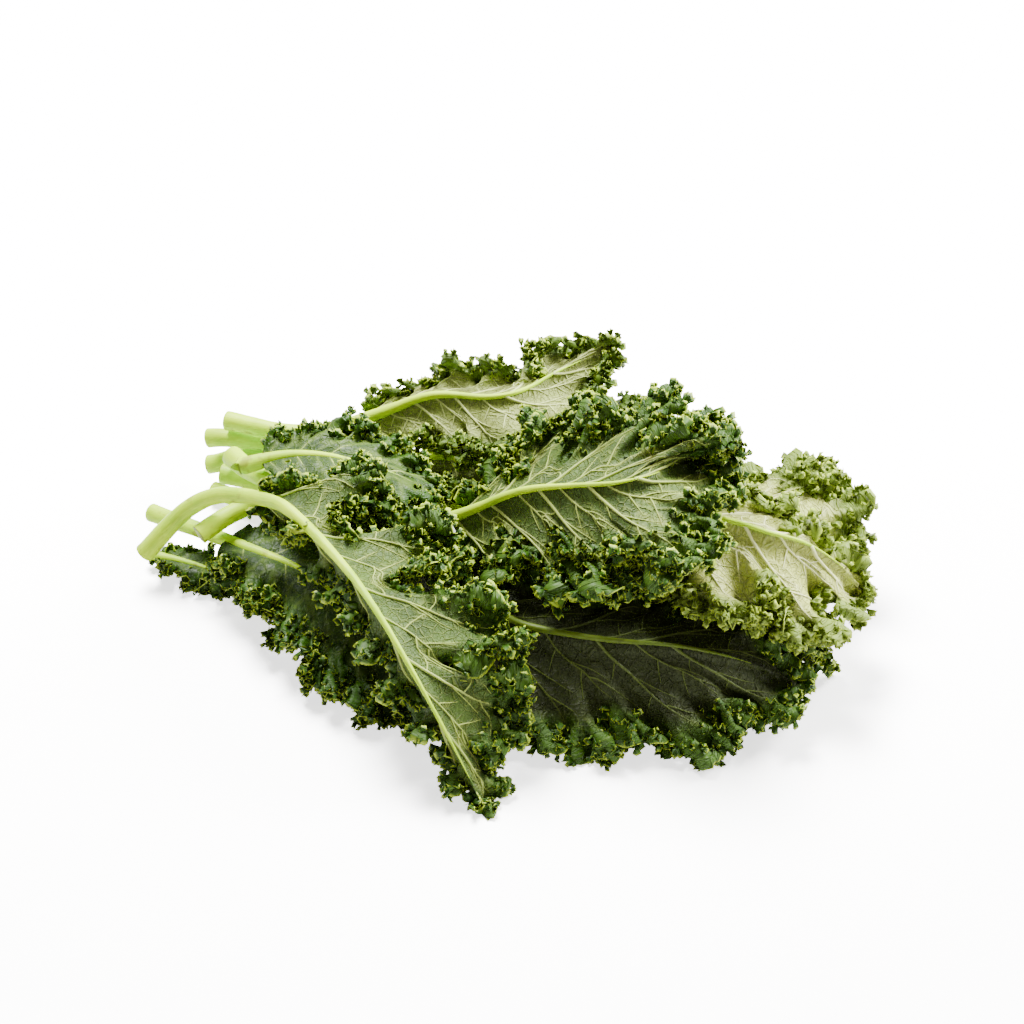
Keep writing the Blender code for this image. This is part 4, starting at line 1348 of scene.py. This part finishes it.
# %% Finish: stem
# A juicy stem: smooth, with a soft shine along it and fibres that break the shine up
STEM, add, shader = new_finish("kale_stem_crisp", Roughness=0.42, IOR=1.3)
turn = add("ShaderNodeAttribute", out=1, attribute_name="turn")
run, is_vein, tone, cut = (
    add("ShaderNodeAttribute", out=2, attribute_name=label) for label in ("run", "vein", "tone", "cut")
)
# Fibres, drawn out along the stem because the run along it counts for less than the place round it
slow_run = add(MATH, (run, 0.07), operation="MULTIPLY")
lengthwise = add("ShaderNodeCombineXYZ", {2: slow_run})
fibre_place = add(VECTOR_MATH, (turn, (5.0, 5.0, 0.0), lengthwise), operation="MULTIPLY_ADD")
fibres = add(NOISE, {"Vector": fibre_place, "Scale": 1.6, "Detail": 3.0})
streaks = add(MAP_RANGE, (fibres, 0.45, 0.7, 0.0, 0.5))
# Blotches 24 mm wide and a few bruises 13 mm wide
place = add("ShaderNodeTexCoord", out=3)
blotches = add(NOISE, {"Vector": place, "Scale": 42.0, "Detail": 3.0})
blotches = add(MAP_RANGE, (blotches, 0.4, 0.62, 0.0, 1.0))
bruises = add(NOISE, {"Vector": place, "Scale": 75.0, "Detail": 4.0})
bruises = add(MAP_RANGE, (bruises, 0.61, 0.68, 0.0, 0.6))
# The veins share their leaf's tone, cream on creamy leaves, partly painted light, and the midrib and veins
# of a dark leaf darken, partly painted shade; the cut is dull at its edge and pale at the pith
old_and_painted_light = add(MATH, (tone, 1.0), operation="MULTIPLY", use_clamp=True)
vein_green = add(MIX, (old_and_painted_light, srgb("#a8b95e"), srgb("#eef0ae")), data_type="RGBA")
shaded = add(MATH, (tone, -0.9), operation="MULTIPLY", use_clamp=True)
on_cut = add(MAP_RANGE, (cut, 0.02, 0.25, 0.0, 1.0))
pith = add(MAP_RANGE, (cut, 0.35, 0.6, 0.0, 1.0))
flesh = add(MIX, (pith, srgb("#7d8c33"), srgb("#b3bf6a")), data_type="RGBA")
colour = srgb(FRESH_STEM)
for amount, tint in (
    (blotches, srgb("#a9d60e")), (streaks, srgb("#d8f43a")), (is_vein, vein_green),
    (bruises, srgb("#7f7a35")), (shaded, srgb("#3c4a14")), (on_cut, flesh),
):
    colour = add(MIX, (amount, colour, tint), data_type="RGBA")
STEM.node_tree.links.new(colour, shader.inputs["Base Color"])
bump = add("ShaderNodeBump", {"Strength": 0.35, "Distance": 0.0004, "Height": fibres})
STEM.node_tree.links.new(bump, shader.inputs["Normal"])
stem_finish.inputs["Material"].default_value = STEM
print("nodes in the stem's finish:", len(STEM.node_tree.nodes))

# %% [markdown]
# ## Growing the blades
#
# Each sheet goes through the blade tree and becomes a plain mesh. Solidify then gives it its thickness,
# with one finish below, one above and one round the rim, and the ruffles are set on both faces. Between
# the side veins the sheet bulges towards its upper side, which is what makes the veins stand in valleys
# when it is seen from above.

# %% Blades
LEAF_THICKNESS = 0.00042
# In mm, how far the sheet bulges and how close to a vein, and where on the way out
BULGE = 1.1
BULGE_REACH = 5.0
BULGES_FROM = 0.15
BULGES_UNTIL = 0.95
BULGES_FADE = 0.4
FRILLED_RISE = 0.22
RIM_STRETCH = 1.8
QUARTERS = (0, 0.25, 0.5, 0.75)


def placed(name, shown):
    """A new object in the scene for a mesh, a light or a camera."""
    made = bpy.data.objects.new(name, shown)
    bpy.context.scene.collection.objects.link(made)
    return made


def whole(name, mesh, body="root"):
    """A finished piece: a plain mesh object at the origin that rides on a body of the frame."""
    made = placed(name, mesh)
    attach(made, body)
    return made


def triangles(pieces):
    """The number of triangles in some pieces."""
    for piece in pieces:
        piece.data.calc_loop_triangles()
    return sum(len(piece.data.loop_triangles) for piece in pieces)


def veins_nearby(blade, flat):
    """Distance in mm on the flat leaf from each point to the nearest side vein or branch."""
    lines = [spread_flat(blade, raw, out) for raw, out, girth in vein_paths(blade)]
    spots = [a + (b - a) * t for a, b in ((line[:-1], line[1:]) for line in lines) for t in QUARTERS]
    spots = np.concatenate(spots)
    near = KDTree(len(spots))
    for k, (x, y) in enumerate(spots.tolist()):
        near.insert((x, y, 0), k)
    near.balance()
    return np.array([near.find((x, y, 0))[2] for x, y in flat.tolist()])


def bare_sheet(blade):
    """The fine sheet of a blade, whose points carry what the trees and the finishes read."""
    around, out, faces = fine_sheet(blade)
    raw = blade.raw_at(around)
    flat = spread_flat(blade, raw, out)
    distance = veins_nearby(blade, flat)
    points, under, ahead = skin(blade, around, out)
    bulge = BULGE * blade.leaf["size"] * (1 - np.exp(-(distance / BULGE_REACH) ** 2))
    bulge *= np.clip(out / BULGES_FROM, 0, 1) * np.clip((BULGES_UNTIL - out) / BULGES_FADE, 0, 1)
    points = points - under * bulge[:, None]
    frilled = np.clip((out - blade.frilled_from) / FRILLED_RISE, 0, 1)
    mesh = bpy.data.meshes.new("sheet")
    mesh.from_pydata((points * MM).tolist(), [], faces)
    for name, values in (
        ("margin", around * blade.margin / 2 * MM), ("out", out),
        ("frilled", frilled * frilled * (3 - 2 * frilled)), ("under", under), ("ahead", ahead),
        ("flat", np.column_stack([flat, np.zeros(len(flat))]) * MM), ("vein_distance", distance),
        ("rim_distance", RIM_STRETCH * (1 - out) * blade.rib_length(raw)),
    ):
        carry(mesh, name, values)
    lay_flat(mesh, flat)
    return mesh


def grow_blade(blade):
    """The finished blade of one leaf."""
    own = dict(Leaf_size=blade.leaf["size"], Seed=float(blade.leaf["seed"]))
    source = placed("sheet", bare_sheet(blade))
    source.data = grown(source, blade_tree, Frilled_from=blade.frilled_from, **own)
    for finish in (UNDERSIDE, UPPER_SIDE, RIM):
        if finish.name not in source.data.materials:
            source.data.materials.append(finish)
    # Thickness to both sides of the sheet, with the second finish above and the third on the rim
    thick = source.modifiers.new("leaf thickness", "SOLIDIFY")
    thick.thickness = LEAF_THICKNESS
    thick.offset = 0
    thick.material_offset = 1
    thick.material_offset_rim = 2
    thick_mesh = plain_mesh(source)
    source.modifiers.remove(thick)
    source.data = thick_mesh
    ruffled = grown(source, ruffle_tree, Density=RUFFLES * blade.crowding, **own)
    carry(ruffled, "tone", np.full(len(ruffled.vertices), blade.tone))
    bpy.data.objects.remove(source)
    ruffled.shade_smooth()
    made = whole(blade.leaf["name"] + "_blade_frilled", ruffled)
    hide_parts(blade.leaf["name"] + "_blade")
    return made


print("triangles in the blades:", triangles([grow_blade(blade) for blade in blades]))

# %% [markdown]
# ## Growing the stems
#
# A stem is cut square at its thick end. The first few points of its line make the cut: they share nearly
# one place and grow from a dot to the full width, and carry how deep inside the cut they are, so that
# the pith gets its paler colour. Along the blade the midrib thins out and takes on its leaf's tone. Veins
# start inside the midrib and run out along the underside, half sunk into it.

# %% Stems and veins
# Points along a stem, and where on the spine's length they start, end and get thinner at the end
STEM_POINTS = 90
STEM_START = 0.002
STEM_END = 0.965
END_FADE = 0.08
END_LEAST = 0.12
# For each ring of the cut, its share of the full width and how deep inside it is
CUT_RINGS = ((0.02, 1.0), (0.45, 0.62), (0.9, 0.3), (0.985, 0.12))
CUT_DEPTH = 0.12
VEIN_RAISE = 0.35
MIDRIB_THINS = 0.5
TONE_RISE = 0.04


def stem_line(blade):
    """Places in mm along the stem and midrib, and what the points of that line carry."""
    start = blade.leaf["blade_from"]
    at = np.concatenate([np.zeros(len(CUT_RINGS)), np.linspace(STEM_START, STEM_END, STEM_POINTS)])
    place, tangent, face, _ = blade.spine.frame(at)
    girth = radius_at(blade.leaf, at)
    nothing = np.zeros(len(at))
    cut = nothing.copy()
    for k, (share, deep) in enumerate(CUT_RINGS):
        girth[k] *= share
        place[k] = place[k] + tangent[k] * CUT_DEPTH * k
        cut[k] = deep
    fade = np.clip((STEM_END - at) / END_FADE, END_LEAST, 1) ** 0.6
    thins = 1 - MIDRIB_THINS * np.clip((at - start) / (1 - start), 0, 1) ** 0.7
    return lifted(heap, place, place[:, :2], blade.lift) - middle, dict(
        girth=girth * fade * thins * MM, margin=nothing, out=nothing, under=face, ahead=tangent,
        vein=nothing, cut=cut, run=at * blade.spine.length, flat=np.zeros((len(at), 3)),
        tone=blade.tone * np.clip((at - start) / TONE_RISE, 0, 1),
    )


def vein_lines(blade, paths):
    """Places in mm along all the veins of a leaf, and what the points of those lines carry."""
    raw, out, thick = (np.concatenate(parts) for parts in zip(*paths))
    around = np.sign(raw) * np.interp(np.abs(raw), blade.from_tip, blade.even)
    points, under, ahead = skin(blade, around, out)
    raise_by = (LEAF_THICKNESS / MM / 2 + VEIN_RAISE * thick)[:, None]
    nothing = np.zeros(len(out))
    return points + under * raise_by, dict(
        girth=thick * MM, margin=around * blade.margin / 2 * MM, out=out, under=under, ahead=ahead,
        vein=nothing + 1, cut=nothing, run=out * blade.rib_length(raw),
        flat=np.column_stack([spread_flat(blade, raw, out), nothing]) * MM, tone=nothing + blade.tone,
    )


def grow_stem(blade):
    """The finished stem of one leaf, with its midrib and veins."""
    paths = vein_paths(blade)
    stem_places, on_stem = stem_line(blade)
    vein_places, on_veins = vein_lines(blade, paths)
    ends = np.cumsum([0, len(stem_places)] + [len(raw) for raw, out, girth in paths])
    edges = [(k, k + 1) for first, last in zip(ends, ends[1:]) for k in range(first, last - 1)]
    mesh = bpy.data.meshes.new("lines")
    mesh.from_pydata((np.concatenate([stem_places, vein_places]) * MM).tolist(), edges, [])
    for name, values in on_stem.items():
        carry(mesh, name, np.concatenate([values, on_veins[name]]))
    source = placed("lines", mesh)
    tube = grown(
        source, stem_tree, Leaf_size=blade.leaf["size"], Seed=float(blade.leaf["seed"]),
        Frilled_from=blade.frilled_from,
    )
    bpy.data.objects.remove(source)
    tube.materials.clear()
    tube.materials.append(STEM)
    tube.shade_smooth()
    made = whole(blade.leaf["name"] + "_stem_veined", tube)
    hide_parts(blade.leaf["name"] + "_stem")
    return made


print("triangles in the stems and veins:", triangles([grow_stem(blade) for blade in blades]))

# %% [markdown]
# ## Studio
#
# The photo was taken from in front and above, on white paper in bright soft light that comes mostly from
# above and behind, so the front undersides are in shade and a faint shadow lies before the bunch. The
# paper is burnt out to white. It glows a little for that, which would also light the leaves from below,
# so only the camera sees it. A plain hidden sheet under it throws back the light that real paper would,
# and one lamp lights the paper alone and gives the shadow its soft edge.

# %% Floor, light and camera
# Lengths and places in metres
FLOOR_REACH = 30
UNDER_PAPER = 0.002
CAMERA_DISTANCE = 1.08
CAMERA_LOOKS_DOWN = math.radians(40)
CAMERA_TARGET = Vector((0.0060, 0.0449, 0.040))
WINDOW_BEHIND = (-0.35, 0.9, 1.5)
WINDOW_RIGHT = (1.1, 0.5, 0.9)

floor_mesh = bpy.data.meshes.new("floor")
corners = [(x * FLOOR_REACH, y * FLOOR_REACH, 0) for x, y in ((-1, -1), (1, -1), (1, 1), (-1, 1))]
floor_mesh.from_pydata(corners, [], [(0, 1, 2, 3)])
floor = placed("floor", floor_mesh)
floor.visible_diffuse = floor.visible_glossy = floor.visible_shadow = False
bounce = placed("table under the paper", floor_mesh.copy())
bounce.location.z = -UNDER_PAPER
bounce.visible_camera = False
# Matt white paper in more light than the photo could hold, which leaves no edge and no grain to see
paper, _, _ = new_finish(
    "white_paper_sweep", Base_Color=srgb("#f7f6f5"), Roughness=0.9, Emission_Color=srgb("#ffffff"),
    Emission_Strength=2.0,
)
floor_mesh.materials.append(paper)

world = bpy.data.worlds.new("soft white room")
world.use_nodes = True
world.node_tree.nodes["Background"].inputs["Color"].default_value = srgb("#fff8ec")
world.node_tree.nodes["Background"].inputs["Strength"].default_value = 0.44
bpy.context.scene.world = world


def soft_light(name, place, target, width, watts):
    """A square area light that looks at a point."""
    light = bpy.data.lights.new(name, "AREA")
    light.size = width
    light.energy = watts
    lamp = placed(name, light)
    lamp.location = place
    lamp.rotation_mode = "QUATERNION"
    lamp.rotation_quaternion = (Vector(target) - Vector(place)).to_track_quat("-Z", "Y")
    return lamp


soft_light("window behind", WINDOW_BEHIND, (0, 0, 0.05), 0.6, 108)
soft_light("window right", WINDOW_RIGHT, (0.1, 0, 0.05), 0.6, 86)
over_paper = soft_light("lamp on the paper alone", WINDOW_BEHIND, (0, 0, 0.05), 0.9, 380)
lit_by_it = bpy.data.collections.new("the paper alone")
lit_by_it.objects.link(floor)
over_paper.light_linking.receiver_collection = lit_by_it

# A long lens from a metre away, which keeps near and far leaves at much the same scale
camera = placed("camera", bpy.data.cameras.new("camera"))
camera.data.lens = 70
camera.data.sensor_width = 36
towards = Vector((0, math.cos(CAMERA_LOOKS_DOWN), -math.sin(CAMERA_LOOKS_DOWN)))
camera.location = CAMERA_TARGET - CAMERA_DISTANCE * towards
camera.rotation_mode = "QUATERNION"
camera.rotation_quaternion = towards.to_track_quat("-Z", "Y")
bpy.context.scene.camera = camera
print("camera at", [round(c, 3) for c in camera.location])
